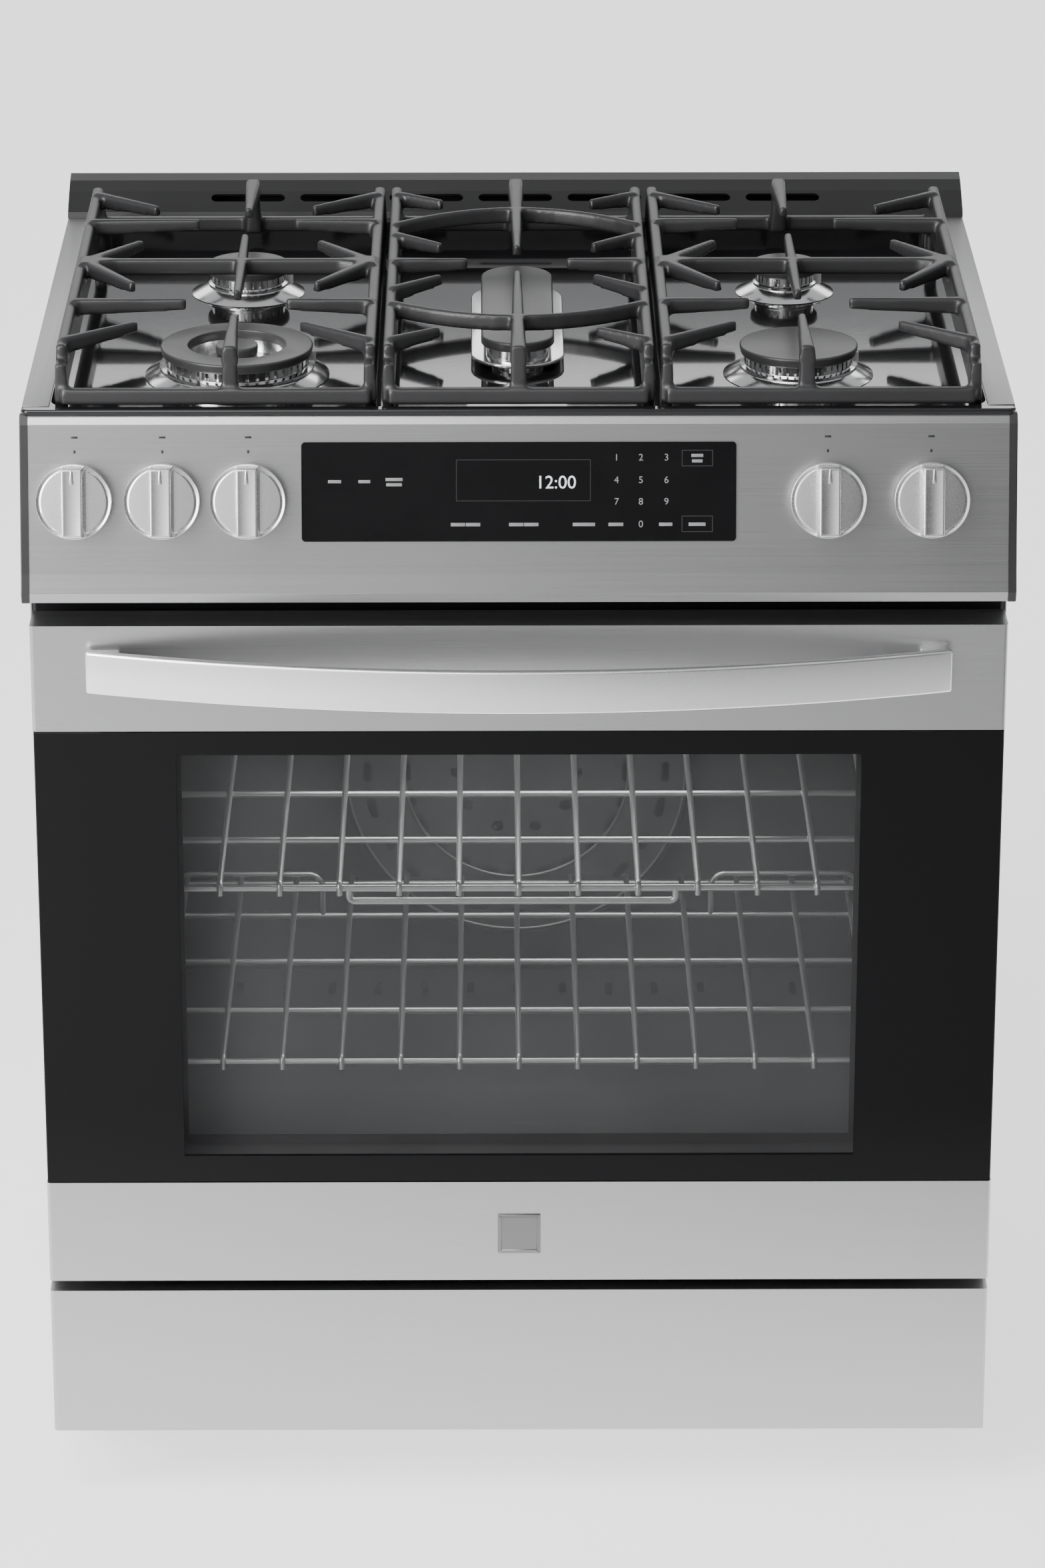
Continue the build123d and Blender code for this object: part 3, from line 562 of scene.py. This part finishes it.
def iron_bar(root, tip, width, low, high, tip_width=None, tip_lift=0.0):
    """A block from root to tip, narrower at its top and its tip."""
    run = Vector((tip[0] - root[0], tip[1] - root[1]))
    block = start("bar", "cube", size=1.0, scale=(run.length, width, high - low))
    pick_faces(block, lambda centre, normal: normal.z > 0.9)
    bpy.ops.transform.resize(value=(1.0, 0.74, 1.0), center_override=(0, 0, 0))
    pick_faces(block, lambda centre, normal: normal.x > 0.9)
    if tip_width:
        bpy.ops.transform.resize(value=(1.0, tip_width / width, 1.0), center_override=(0, 0, 0))
    if tip_lift:
        room = high - low
        bpy.ops.transform.resize(value=(1.0, 1.0, 1.0 - tip_lift / room),
                                 center_override=(0, 0, room / 2))
    bpy.ops.object.mode_set(mode="OBJECT")
    block.rotation_euler.z = math.atan2(run.y, run.x)
    block.location = ((root[0] + tip[0]) / 2, (root[1] + tip[1]) / 2, (low + high) / 2)
    bpy.ops.object.transform_apply(location=True, rotation=True, scale=False)
    return block


def grate_frame(rails):
    """Side rails, end bars, corner posts and feet for a grate between two rail lines."""
    bars = []
    for x in rails:
        bars.append(iron_bar((x, -236 * MM), (x, 226 * MM), 11 * MM, LOW_BAR[1], RAIL_TOP))
        for edge, inward in ((FRONT_EDGE, 1), (REAR_EDGE, -1)):
            end = (x, edge + inward * 16 * MM)
            bars.append(iron_bar((x, edge), end, 11 * MM, LOW_BAR[0], TOP - 14 * MM))
            bars.append(start("foot", "cylinder", vertices=16, radius=5 * MM, depth=20 * MM,
                              location=(x, edge + inward * 8 * MM, LOW_BAR[0] - 6 * MM)))
    for edge in (FRONT_EDGE, REAR_EDGE):
        bars.append(iron_bar((rails[0], edge), (rails[1], edge), 11 * MM, *LOW_BAR))
    return bars


def finger(root, tip, width, tip_width):
    """A pan support: full height at its root, thinner towards its tip."""
    return iron_bar(root, tip, width * MM, FINGER_LOW, TOP, tip_width * MM, 4 * MM)


def end_finger(x, edge, tip_y):
    """The long finger that rises from an end bar, with its upright post."""
    inward = math.copysign(12 * MM, tip_y - edge)
    post = iron_bar((x, edge), (x, edge + inward), 14 * MM, LOW_BAR[0], TOP - 8 * MM)
    return [finger((x, edge), (x, tip_y), 14, 7), post]


def cast(name, bars):
    """Melt the bars into one casting."""
    iron = join(name, bars)
    use(iron, "REMESH", mode="VOXEL", voxel_size=1.7 * MM)
    use(iron, "SMOOTH", factor=0.5, iterations=5)
    settle(iron, 60)
    return fit_out(iron, name, "grate_iron", instead_of=(name,))


print("grate top at", round(TOP, 3), "m")

# %% Left and right grates
for side, name in ((-1, "grate_left"), (1, "grate_right")):
    near, far = [side * rail for rail in SIDE_RAILS]
    middle = side * BURNER_X
    bars = grate_frame((near, far))
    bars += end_finger(middle, FRONT_EDGE, -160 * MM)
    bars += end_finger(middle, REAR_EDGE, 146 * MM)
    for rail, inward in ((near, side), (far, -side)):
        for y in BURNER_Y:
            bars.append(finger((rail, y), (middle - inward * 39 * MM, y), 11, 7))
        for root_y, tip_y in ((-224, -180), (199, 154)):
            tip = (rail + inward * 54 * MM, tip_y * MM)
            bars.append(finger((rail, root_y * MM), tip, 10, 6.5))
        for tip_y in (-72, 51):
            tip = (rail + inward * 46 * MM, tip_y * MM)
            bars.append(finger((rail + inward * 4 * MM, CROSS_Y), tip, 13, 6.5))
        bars.append(finger((rail, CROSS_Y), (rail + inward * 30 * MM, CROSS_Y), 30, 9))
    bars.append(iron_bar((near, CROSS_Y), (far, CROSS_Y), 10 * MM, FINGER_LOW, TOP))
    for tip_y in (-97, 70):
        bars.append(finger((middle, CROSS_Y), (middle, tip_y * MM), 10, 7))
    iron = cast(name, bars)
    print(name, faces_of(iron), "faces")

# %% Centre grate
bars = grate_frame((-CENTRE_RAIL, CENTRE_RAIL))
bars += end_finger(0.0, FRONT_EDGE, -38 * MM) + end_finger(0.0, REAR_EDGE, 32 * MM)
ARC_STEPS = 12
for end_y, crown in ((-124 * MM, -41 * MM), (102 * MM, 46 * MM)):
    line = []
    for step in range(ARC_STEPS + 1):
        across = 2 * step / ARC_STEPS - 1
        line.append((across * CENTRE_RAIL, end_y + crown * (1 - across ** 2)))
    for root, tip in zip(line, line[1:]):
        bars.append(iron_bar(root, tip, 8 * MM, FINGER_LOW, TOP))
for side in (-1, 1):
    rail = side * CENTRE_RAIL
    bars.append(finger((rail, CROSS_Y), (side * 39.6 * MM, CROSS_Y), 11, 7))
    for root_y, tip_y in ((-85, -50), (75, 40), (-224, -196), (199, 172)):
        bars.append(finger((rail, root_y * MM), (side * 61 * MM, tip_y * MM), 9, 6.5))
print("grate_center", faces_of(cast("grate_center", bars)), "faces")

# %% [markdown]
# ## Knobs
#
# A range knob is a round metal skirt with an upright grip across it, and a small notch at
# the grip's top that says where it points. One knob is modelled flat on the floor, looking
# up, and then copied to each valve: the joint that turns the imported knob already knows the
# place and the axis.

# %% One knob, copied five times
SKIRT_R = 28.8 * MM
SKIRT_BACK, SKIRT_FRONT, GRIP_FRONT = 4 * MM, 17 * MM, 37.5 * MM
GRIP_DEPTH = 21.5 * MM


def knob_pattern():
    """A knob whose back is at the origin and whose face looks along +Z."""
    depth = SKIRT_FRONT - SKIRT_BACK
    skirt = start("knob", "cylinder", vertices=96, radius=SKIRT_R, depth=depth,
                  location=(0, 0, SKIRT_BACK + depth / 2))
    pick_faces(skirt, lambda centre, normal: normal.z > 0.9)
    bpy.ops.mesh.inset(thickness=2.4 * MM)
    bpy.ops.transform.translate(value=(0, 0, -1.0 * MM))
    bpy.ops.mesh.inset(thickness=1.2 * MM)
    bpy.ops.transform.translate(value=(0, 0, 0.6 * MM))
    soften(skirt, 0.9 * MM, 3, 25)
    grip = start("grip", "cube", size=1.0, scale=(19 * MM, 53.5 * MM, GRIP_DEPTH),
                 location=(0, 0, GRIP_FRONT - GRIP_DEPTH / 2))
    pick_faces(grip, lambda centre, normal: normal.z > 0.9)
    bpy.ops.transform.resize(value=(0.84, 0.97, 1.0), center_override=(0, 0, GRIP_FRONT))
    bpy.ops.mesh.inset(thickness=2.2 * MM)
    bpy.ops.transform.translate(value=(0, 0, -0.7 * MM))
    bpy.ops.object.mode_set(mode="OBJECT")
    soften(grip, 1.6 * MM, 4, 25)
    pointer = start("pointer", "cube", size=1.0, scale=(3.2 * MM, 11 * MM, 2.4 * MM),
                    location=(0, 20 * MM, GRIP_FRONT - 0.9 * MM))
    pick_faces(pointer, lambda centre, normal: normal.y > 0.9)
    bpy.ops.transform.resize(value=(0.5, 1.0, 1.0), center_override=(0, 26 * MM, 0))
    soften(pointer, 0.5 * MM, 2)
    return settle(join("knob_pattern", [skirt, grip, pointer]), 35)


def against(axis, origin):
    """The matrix that lays what was made flat on the floor against a sloping face."""
    outward = -Vector(axis).normalized()
    upward = outward.cross(Vector((1, 0, 0)))
    turn = Matrix((Vector((1, 0, 0)), upward, outward)).transposed().to_4x4()
    return Matrix.Translation(origin) @ turn


knob_turns = {joint["child"]: joint for joint in frame["joints"]
              if joint["name"].startswith("knob_")}
pattern = knob_pattern()
for body, joint in knob_turns.items():
    copy = copy_to(pattern, body + "_body", against(joint["axis"], joint["pos_m"]))
    fit_out(copy, body, "knob_metal", instead_of=(body,))
bpy.data.objects.remove(pattern)
print("made", len(knob_turns), "knobs")

# %% [markdown]
# ## Burners
#
# Each burner is an aluminium head with a ring of flame ports under a round enamel cap. The
# ports are real holes: every second side face of a many-sided cylinder is pushed inwards.
# The large left front burner has an inner flame ring in the hollow of the outer one, and
# the middle burner is a long oval. A flared skirt spreads under each round head, and a white
# ceramic igniter stands beside each burner.

# %% A burner head with its ports
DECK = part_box("burner_caps")[0].z - 17 * MM
CAP_LOW, CAP_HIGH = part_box("burner_caps")[0].z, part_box("burner_caps")[1].z
PORT_RING = 7 * MM
CLEAR = 0.2 * MM


def burner_head(radius, ports, low=DECK, high=CAP_LOW):
    """A flared head with a ring of pushed-in ports below its rim."""
    ring_middle = high - PORT_RING / 2
    head = start("head", "cylinder", vertices=ports * 2, radius=radius - 4 * MM,
                 depth=PORT_RING, location=(0, 0, ring_middle))
    pick_faces(head, lambda centre, normal: normal.z < -0.9)
    bpy.ops.mesh.extrude_region_move(TRANSFORM_OT_translate={"value": (0, 0, -1.0 * MM)})
    bpy.ops.transform.resize(value=(1.08, 1.08, 1.0), center_override=(0, 0, 0))
    bpy.ops.mesh.extrude_region_move(TRANSFORM_OT_translate={"value": (0, 0, -2.0 * MM)})
    bpy.ops.mesh.extrude_region_move(TRANSFORM_OT_translate={"value": (0, 0, -1.5 * MM)})
    bpy.ops.transform.resize(value=(0.86, 0.86, 1.0), center_override=(0, 0, 0))
    bpy.ops.mesh.extrude_region_move(
        TRANSFORM_OT_translate={"value": (0, 0, low + CLEAR - (high - PORT_RING - 4.5 * MM))})
    pick_faces(head, lambda centre, normal: abs(normal.z) < 0.1
               and abs(centre.z - ring_middle) < 1 * MM
               and int(round(math.atan2(centre.y, centre.x) / math.pi * ports - 0.5)) % 2 == 0)
    bpy.ops.mesh.inset(thickness=0.6 * MM, use_individual=True)
    bpy.ops.mesh.extrude_faces_move(MESH_OT_extrude_faces_indiv={},
                                    TRANSFORM_OT_shrink_fatten={"value": -3 * MM})
    bpy.ops.object.mode_set(mode="OBJECT")
    return head


print("flames leave", round((CAP_LOW - DECK) / MM), "mm above the deck")

# %% A burner cap
def burner_cap(radius, hole=0.0):
    """A cap with a rounded rim and a slightly narrower foot, or a ring if it has a hole."""
    cap = start("cap", "cylinder", vertices=96, radius=radius, depth=CAP_HIGH - CAP_LOW,
                location=(0, 0, (CAP_LOW + CAP_HIGH) / 2))
    pick_faces(cap, lambda centre, normal: normal.z > 0.9)
    bpy.ops.mesh.inset(thickness=3.2 * MM)
    pick_faces(cap, lambda centre, normal: normal.z < -0.9)
    bpy.ops.transform.resize(value=(0.97, 0.97, 1.0), center_override=(0, 0, 0))
    soften(cap, 2.0 * MM, 4, 50)
    if hole:
        cutter = start("cutter", "cylinder", vertices=96, radius=hole, depth=0.1,
                       location=(0, 0, CAP_LOW))
        use(cap, "BOOLEAN", object=cutter, operation="DIFFERENCE", solver="EXACT")
        bpy.data.objects.remove(cutter)
        soften(cap, 1.0 * MM, 3, 50)
    return cap


def stand(piece, name, x, y):
    """Move a burner piece to its place and settle it."""
    piece.location = (x, y, 0)
    return settle(rename(piece, name), 32)


print("a cap is", round((CAP_HIGH - CAP_LOW) / MM, 1), "mm thick")

# %% Four round burners
BURNERS = {
    "left_front": (-BURNER_X, BURNER_Y[0], 60.3 * MM),
    "left_rear": (-BURNER_X, BURNER_Y[1], 34.0 * MM),
    "right_front": (BURNER_X, BURNER_Y[0], 46.7 * MM),
    "right_rear": (BURNER_X, BURNER_Y[1], 28.0 * MM),
}
HOLE_R, INNER_CAP_R = 38.3 * MM, 16.8 * MM
heads, caps = [], []
for place, (x, y, radius) in BURNERS.items():
    head = burner_head(radius, 44 if radius > 40 * MM else 30)
    cap = burner_cap(radius, HOLE_R if place == "left_front" else 0.0)
    if place == "left_front":
        well = start("well", "cylinder", vertices=96, radius=HOLE_R + 1.5 * MM, depth=0.04,
                     location=(0, 0, DECK + 26 * MM))
        use(head, "BOOLEAN", object=well, operation="DIFFERENCE", solver="EXACT")
        bpy.data.objects.remove(well)
        inner = burner_head(INNER_CAP_R + 3 * MM, 20, DECK + 4 * MM)
        head = join("head", [head, inner])
        caps.append(stand(burner_cap(INNER_CAP_R), "inner_cap", x, y))
    flare = start("flare", "cone", vertices=72, radius1=radius + 13 * MM, depth=7 * MM,
                  radius2=radius - 2 * MM, location=(0, 0, DECK + 3.7 * MM))
    heads.append(stand(soften(flare, 1.2 * MM, 3, 20), "flare_" + place, x, y))
    heads.append(stand(head, "head_" + place, x, y))
    caps.append(stand(cap, "cap_" + place, x, y))
    print("burner", place, "at", round(x, 3), round(y, 3))

# %% The long oval burner
OVAL_Y = -8.5 * MM
OVAL_STRETCH = 83 * MM


def pull_apart(piece, stretch):
    """Turn a round piece into a long one by moving its two halves along Y."""
    for side in (1, -1):
        pick_faces(piece, lambda centre, normal: abs(normal.z) < 0.5
                   and centre.y * side > 0.5 * MM)
        bpy.ops.transform.translate(value=(0, side * stretch, 0))
    bpy.ops.object.mode_set(mode="OBJECT")
    return piece


def upright(name, radius, low, high, stretch):
    """A long upright block with round ends."""
    block = start(name, "cylinder", vertices=64, radius=radius, depth=high - low,
                  location=(0, 0, (low + high) / 2))
    return pull_apart(block, stretch)


oval_cap = soften(upright("oval_cap", 29 * MM, CAP_LOW, CAP_HIGH, OVAL_STRETCH), 2 * MM, 4, 50)
oval_skirt = soften(upright("skirt", 37 * MM, DECK + 5 * MM, DECK + 8 * MM, 78 * MM), 1 * MM)
oval_foot = upright("foot", 21 * MM, DECK + CLEAR, DECK + 6 * MM, OVAL_STRETCH)
oval_head = upright("oval_head", 25 * MM, DECK + 7.5 * MM, CAP_LOW, OVAL_STRETCH)
ports = []
for side in (-1, 1):
    port = start("port", "cube", size=1.0, scale=(6 * MM, 2.2 * MM, 4.5 * MM),
                 location=(side * 25 * MM, -78 * MM, CAP_LOW - 4 * MM))
    use(port, "ARRAY", count=27, use_relative_offset=False, use_constant_offset=True,
        constant_offset_displace=(0, 6 * MM, 0))
    ports.append(port)
cutter = join("cutter", ports)
use(oval_head, "BOOLEAN", object=cutter, operation="DIFFERENCE", solver="EXACT")
bpy.data.objects.remove(cutter)
heads.append(stand(join("oval", [oval_head, oval_skirt, oval_foot]), "head_middle", 0, OVAL_Y))
caps.append(stand(oval_cap, "cap_middle", 0, OVAL_Y))

all_heads = fit_out(join("burner_heads_cast", heads), "range_body", "burner_metal",
                    instead_of=("burner_heads",))
all_caps = fit_out(join("burner_caps_enamel", caps), "range_body", "cap_enamel",
                   instead_of=("burner_caps",))
print("heads and caps have", faces_of(all_heads, all_caps), "faces")

# %% Igniters
igniters = []
for x, y, radius in (*BURNERS.values(), (0.0, OVAL_Y, 31 * MM)):
    reach = radius + 1.5 * MM
    spark = start("spark", "cylinder", vertices=24, radius=3.2 * MM, depth=13 * MM,
                  location=(x + reach * 0.94, y + reach * 0.34, DECK + 6.6 * MM))
    settle(soften(spark, 0.6 * MM, 2), 30)
    igniters.append(spark)
fit_out(join("igniters", igniters), "range_body", "clear_glass", "ceramic")
print("made", len(igniters), "igniters")

# %% [markdown]
# ## The door handle
#
# The handle is a flat steel strap, bowed gently away from the door. Its bow is one arc, so we
# draw the strap's end section once and spin it about the arc's centre. The rise of the bow
# and its half length give the radius.

# %% Bowed strap handle
HANDLE_LOW, HANDLE_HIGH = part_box("door_handle")
BOW = 48 * MM
STRAP = 8 * MM
half_length = HANDLE_HIGH.x
bow_radius = (half_length ** 2 + BOW ** 2) / (2 * BOW)
half_turn = math.asin(half_length / bow_radius)
bow_centre = (0.0, HANDLE_LOW.y + bow_radius, 0.0)
strap_height = HANDLE_HIGH.z - HANDLE_LOW.z

strap = start("strap", "plane", size=1.0, rotation=(0, math.pi / 2, 0))
strap.scale = (1.0, STRAP, strap_height)
strap.location = (0, HANDLE_LOW.y + STRAP / 2, (HANDLE_LOW.z + HANDLE_HIGH.z) / 2)
bpy.ops.object.transform_apply(location=True, rotation=True, scale=True)
swing = Matrix.Translation(bow_centre) @ Matrix.Rotation(-half_turn, 4, "Z")
strap.data.transform(swing @ Matrix.Translation(-Vector(bow_centre)))
pick_faces(strap, lambda centre, normal: True)
bpy.ops.mesh.spin(steps=48, angle=-2 * half_turn, center=bow_centre, axis=(0, 0, 1))
bpy.ops.mesh.select_all(action="SELECT")
bpy.ops.mesh.normals_make_consistent(inside=False)
bpy.ops.object.mode_set(mode="OBJECT")
soften(strap, 2.2 * MM, 4, 40)
print("handle bows on a radius of", round(bow_radius, 3), "m")

# %% The handle's two posts
posts = []
for side in (-1, 1):
    post = start("post", "cube", size=1.0, scale=(22 * MM, 13 * MM, strap_height - 9 * MM),
                 location=(side * (half_length - 13.5 * MM), HANDLE_HIGH.y - 6.2 * MM,
                           (HANDLE_LOW.z + HANDLE_HIGH.z) / 2))
    pick_faces(post, lambda centre, normal: normal.y > 0.9)
    bpy.ops.transform.resize(value=(1.1, 1.0, 1.06), center_override=post.data.vertices[0].co)
    posts.append(soften(post, 1.2 * MM, 3))
handle = settle(join("door_handle_strap", [strap] + posts), 35)
fit_out(handle, "oven_door", "handle_steel", instead_of=("door_handle",))
print("the handle has", faces_of(handle), "faces")

# %% [markdown]
# ## Marks on the display and the fascia
#
# Touch keys and lamps are printed on the back of the display glass. Printing has no
# thickness to speak of, so each mark is a thin plate just proud of the glass. Digits are
# text turned into meshes. Everything that would be a word on a real range is a plain bar.
# A small frame of reference on the sloping fascia makes the layout easy: across, up, out.

# %% A flat frame of reference on the fascia
FACE_JOINT = knob_turns["knob_left_outer"]
FASCIA = against(FACE_JOINT["axis"], (0.0, *FACE_JOINT["pos_m"][1:]))
DISPLAY_LOW, DISPLAY_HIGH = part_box("display_glass")
DISPLAY_RISE = 6.2 * MM
DISPLAY_OUT = 2.75 * MM
PRINT = 0.12 * MM


def lay(piece, x, height, out=DISPLAY_OUT):
    """Lay a flat piece on the fascia, at a place from the middle of the knobs' line."""
    piece.data.transform(FASCIA @ Matrix.Translation((x, height, out)))
    return piece


def printed_bar(width, height):
    """A bar with softened corners, lying flat."""
    bar = start("mark", "cube", size=1.0, scale=(width, height, PRINT))
    return use(bar, "BEVEL", width=min(width, height) * 0.3, segments=3, affect="EDGES",
               limit_method="ANGLE", angle_limit=math.radians(60))


def printed_outline(width, height, line=0.5 * MM):
    """A thin rectangular outline, lying flat."""
    outline = start("outline", "cube", size=1.0, scale=(width, height, PRINT))
    pick_faces(outline, lambda centre, normal: abs(normal.z) > 0.9)
    bpy.ops.mesh.inset(thickness=line)
    bpy.ops.mesh.bridge_edge_loops()
    bpy.ops.object.mode_set(mode="OBJECT")
    return outline


def printed_text(body, size):
    """Digits as a thin mesh, centred, lying flat."""
    bpy.ops.object.select_all(action="DESELECT")
    bpy.ops.object.text_add(location=(0, 0, 0))
    text = bpy.context.object
    text.data.body = body
    text.data.size = size
    text.data.align_x, text.data.align_y = "CENTER", "CENTER"
    text.data.extrude = PRINT / 2
    bpy.ops.object.convert(target="MESH")
    return bpy.context.object


print("display is", round(DISPLAY_HIGH.x - DISPLAY_LOW.x, 3), "m wide")

# %% Clock
glow = Finish("clock_glow", emission_strength=1.2)
shimmer = glow.noise(900.0, 2.0)
glow.feed(base_color=(0.5, 0.52, 0.53), roughness=0.5 + shimmer * 0.1)
glow.feed(emission_color=glow.mix((0.5, 0.52, 0.52), (0.75, 0.78, 0.78), shimmer))
finishes["clock_glow"] = glow
finishes["grey_print"] = grained("grey_print", (0.22, 0.22, 0.225), 0.5, 1500.0, 0.02)
finishes["dim_print"] = grained("dim_print", (0.035, 0.035, 0.037), 0.3, 1500.0, 0.02)

clock = lay(printed_text("12:00", 14 * MM), 28.4 * MM, DISPLAY_RISE + 6.8 * MM)
fit_out(settle(join("clock_digits", [clock])), "range_body", "display_glass", "clock_glow")

print("the clock has", faces_of(clock), "faces")

# %% Keypad and key marks
DIGIT = 7.4 * MM
BOTTOM_ROW = DISPLAY_RISE - 25 * MM
KEY_COLUMNS = (74.6 * MM, 93.2 * MM, 112.7 * MM)
KEY_ROWS = (26 * MM, 8.8 * MM, -7.7 * MM)
keys = [lay(printed_text("0", DIGIT), KEY_COLUMNS[1], BOTTOM_ROW)]
for row, y in enumerate(KEY_ROWS):
    for column, x in enumerate(KEY_COLUMNS):
        digit = printed_text(str(row * len(KEY_COLUMNS) + column + 1), DIGIT)
        keys.append(lay(digit, x, DISPLAY_RISE + y))
LOWER_MARKS = ((-46.5, 11), (-35, 11), (-2, 11), (9.5, 11), (49.7, 17), (74.1, 11.3),
               (112.2, 10.2), (136.2, 13))
for x, width in LOWER_MARKS:
    keys.append(lay(printed_bar(width * MM, 2.6 * MM), x * MM, BOTTOM_ROW))
for x, width, y in ((-140.6, 10, 8), (-117.9, 9, 8), (-95.2, 13, 9.6), (-95.2, 12, 5.6),
                    (136.2, 9, 27.6), (136.2, 8, 23.4)):
    keys.append(lay(printed_bar(width * MM, 2.4 * MM), x * MM, DISPLAY_RISE + y * MM))
fit_out(settle(join("key_legends", keys)), "range_body", "display_glass", "grey_print")

dim = [lay(printed_outline(102.7 * MM, 31.7 * MM, 0.4 * MM), 3.5 * MM, DISPLAY_RISE + 8.8 * MM)]
for y in (25.6 * MM, -24.7 * MM):
    dim.append(lay(printed_outline(23.8 * MM, 12.5 * MM), 136.3 * MM, DISPLAY_RISE + y))
fit_out(settle(join("key_outlines", dim)), "range_body", "display_glass", "dim_print")

# %% [markdown]
# ## Trim on the cooktop and the door
#
# A few small pieces finish the outside and the oven. Bright strips run along both sides of
# the cooktop, a domed screw shows between each two grates, two thin raised rings in a paler
# metal than the fan's cover are painted highlights for the cover's round rim, hexagon screws
# hold the back panel, a plain square plate fills the badge's place on the lower band, and each
# knob has small index marks above it. All of them are primitives with softened edges.

# %% Cooktop strips and screws
def plate(name, low, high, round_off):
    """A softened block between two corners."""
    low, high = Vector(low), Vector(high)
    block = start(name, "cube", size=1.0, scale=high - low, location=(low + high) / 2)
    return settle(soften(block, round_off, 3), 30)


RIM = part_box("cooktop")[1].z
STRIP_X, STRIP_HALF = 369 * MM, 10.5 * MM
strips = []
for x in (-STRIP_X, STRIP_X):
    strips.append(plate("strip", (x - STRIP_HALF, -255 * MM, RIM - 0.4 * MM),
                        (x + STRIP_HALF, 281 * MM, RIM + 0.7 * MM), 0.5 * MM))
fit_out(join("cooktop_strips", strips), "range_body", "steel", "strip_steel")

domes = []
for side in (-1, 1):
    dome = start("dome", "uv_sphere", segments=24, ring_count=12, radius=3.6 * MM,
                 location=(side * 106.5 * MM, -236 * MM, DECK + 3 * MM))
    domes.append(settle(dome))
fit_out(join("deck_screws", domes), "range_body", "burner_metal")
print("made", len(strips), "strips and", len(domes), "deck screws")

# %% Fan cover rings and back screws
FAN_LOW, FAN_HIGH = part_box("fan_cover")
fan_middle = (FAN_LOW + FAN_HIGH) / 2
highlight_rims = []
# The rings stand proud of the cover, and their paler metal on the dark enamel is a painted highlight: it paints
# the bright arcs of the cover's round rim.
for major in (96 * MM, 145 * MM):
    rim = start("rim", "torus", major_radius=major, minor_radius=1.3 * MM, major_segments=96,
                minor_segments=12, location=(fan_middle.x, FAN_LOW.y - 0.4 * MM, fan_middle.z),
                rotation=UPRIGHT)
    highlight_rims.append(settle(rim))
fit_out(join("fan_cover_rims", highlight_rims), "range_body", "zinc_steel")

BACK_LOW, BACK_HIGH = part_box("back_panel")
screw_places = [(x, z) for x in (BACK_LOW.x + 12 * MM, BACK_HIGH.x - 12 * MM)
                for z in (0.1, 0.26, 0.42, 0.58, 0.74, 0.88)]
screw_places += [(x, BACK_HIGH.z - 10 * MM) for x in (-0.24, -0.12, 0.0, 0.12, 0.24)]
screws = []
for x, z in screw_places:
    screw = start("screw", "cylinder", vertices=6, radius=4.2 * MM, depth=4 * MM,
                  location=(x, BACK_HIGH.y + 1.6 * MM, z), rotation=UPRIGHT)
    screws.append(settle(soften(screw, 0.5 * MM, 2, 40), 30))
fit_out(join("back_screws", screws), "range_body", "zinc_steel")
print("made", len(highlight_rims), "rings and", len(screw_places), "back screws")

# %% Badge plate and index marks
BAND_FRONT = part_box("door_bottom_band")[0].y
badge_half, badge_z = 17 * MM, 238 * MM
badge = plate("badge_plate", (-badge_half, BAND_FRONT - 1.4 * MM, badge_z - badge_half),
              (badge_half, BAND_FRONT + 0.6 * MM, badge_z + badge_half), 0.6 * MM)
pick_faces(badge, lambda centre, normal: normal.y < -0.95)
bpy.ops.mesh.inset(thickness=2.6 * MM)
bpy.ops.transform.translate(value=(0, 0.5 * MM, 0))
bpy.ops.object.mode_set(mode="OBJECT")
fit_out(settle(badge), "oven_door", "dark_plastic", "badge")

index_marks = []
for joint in knob_turns.values():
    x = joint["pos_m"][0]
    for width, height, rise in ((1.6, 2.4, 37), (5.0, 1.6, 48)):
        mark = printed_bar(width * MM, height * MM)
        index_marks.append(lay(mark, x, rise * MM, 0.05 * MM))
fit_out(settle(join("index_marks", index_marks)), "range_body", "dark_plastic")
print("the badge plate has", faces_of(badge), "faces")
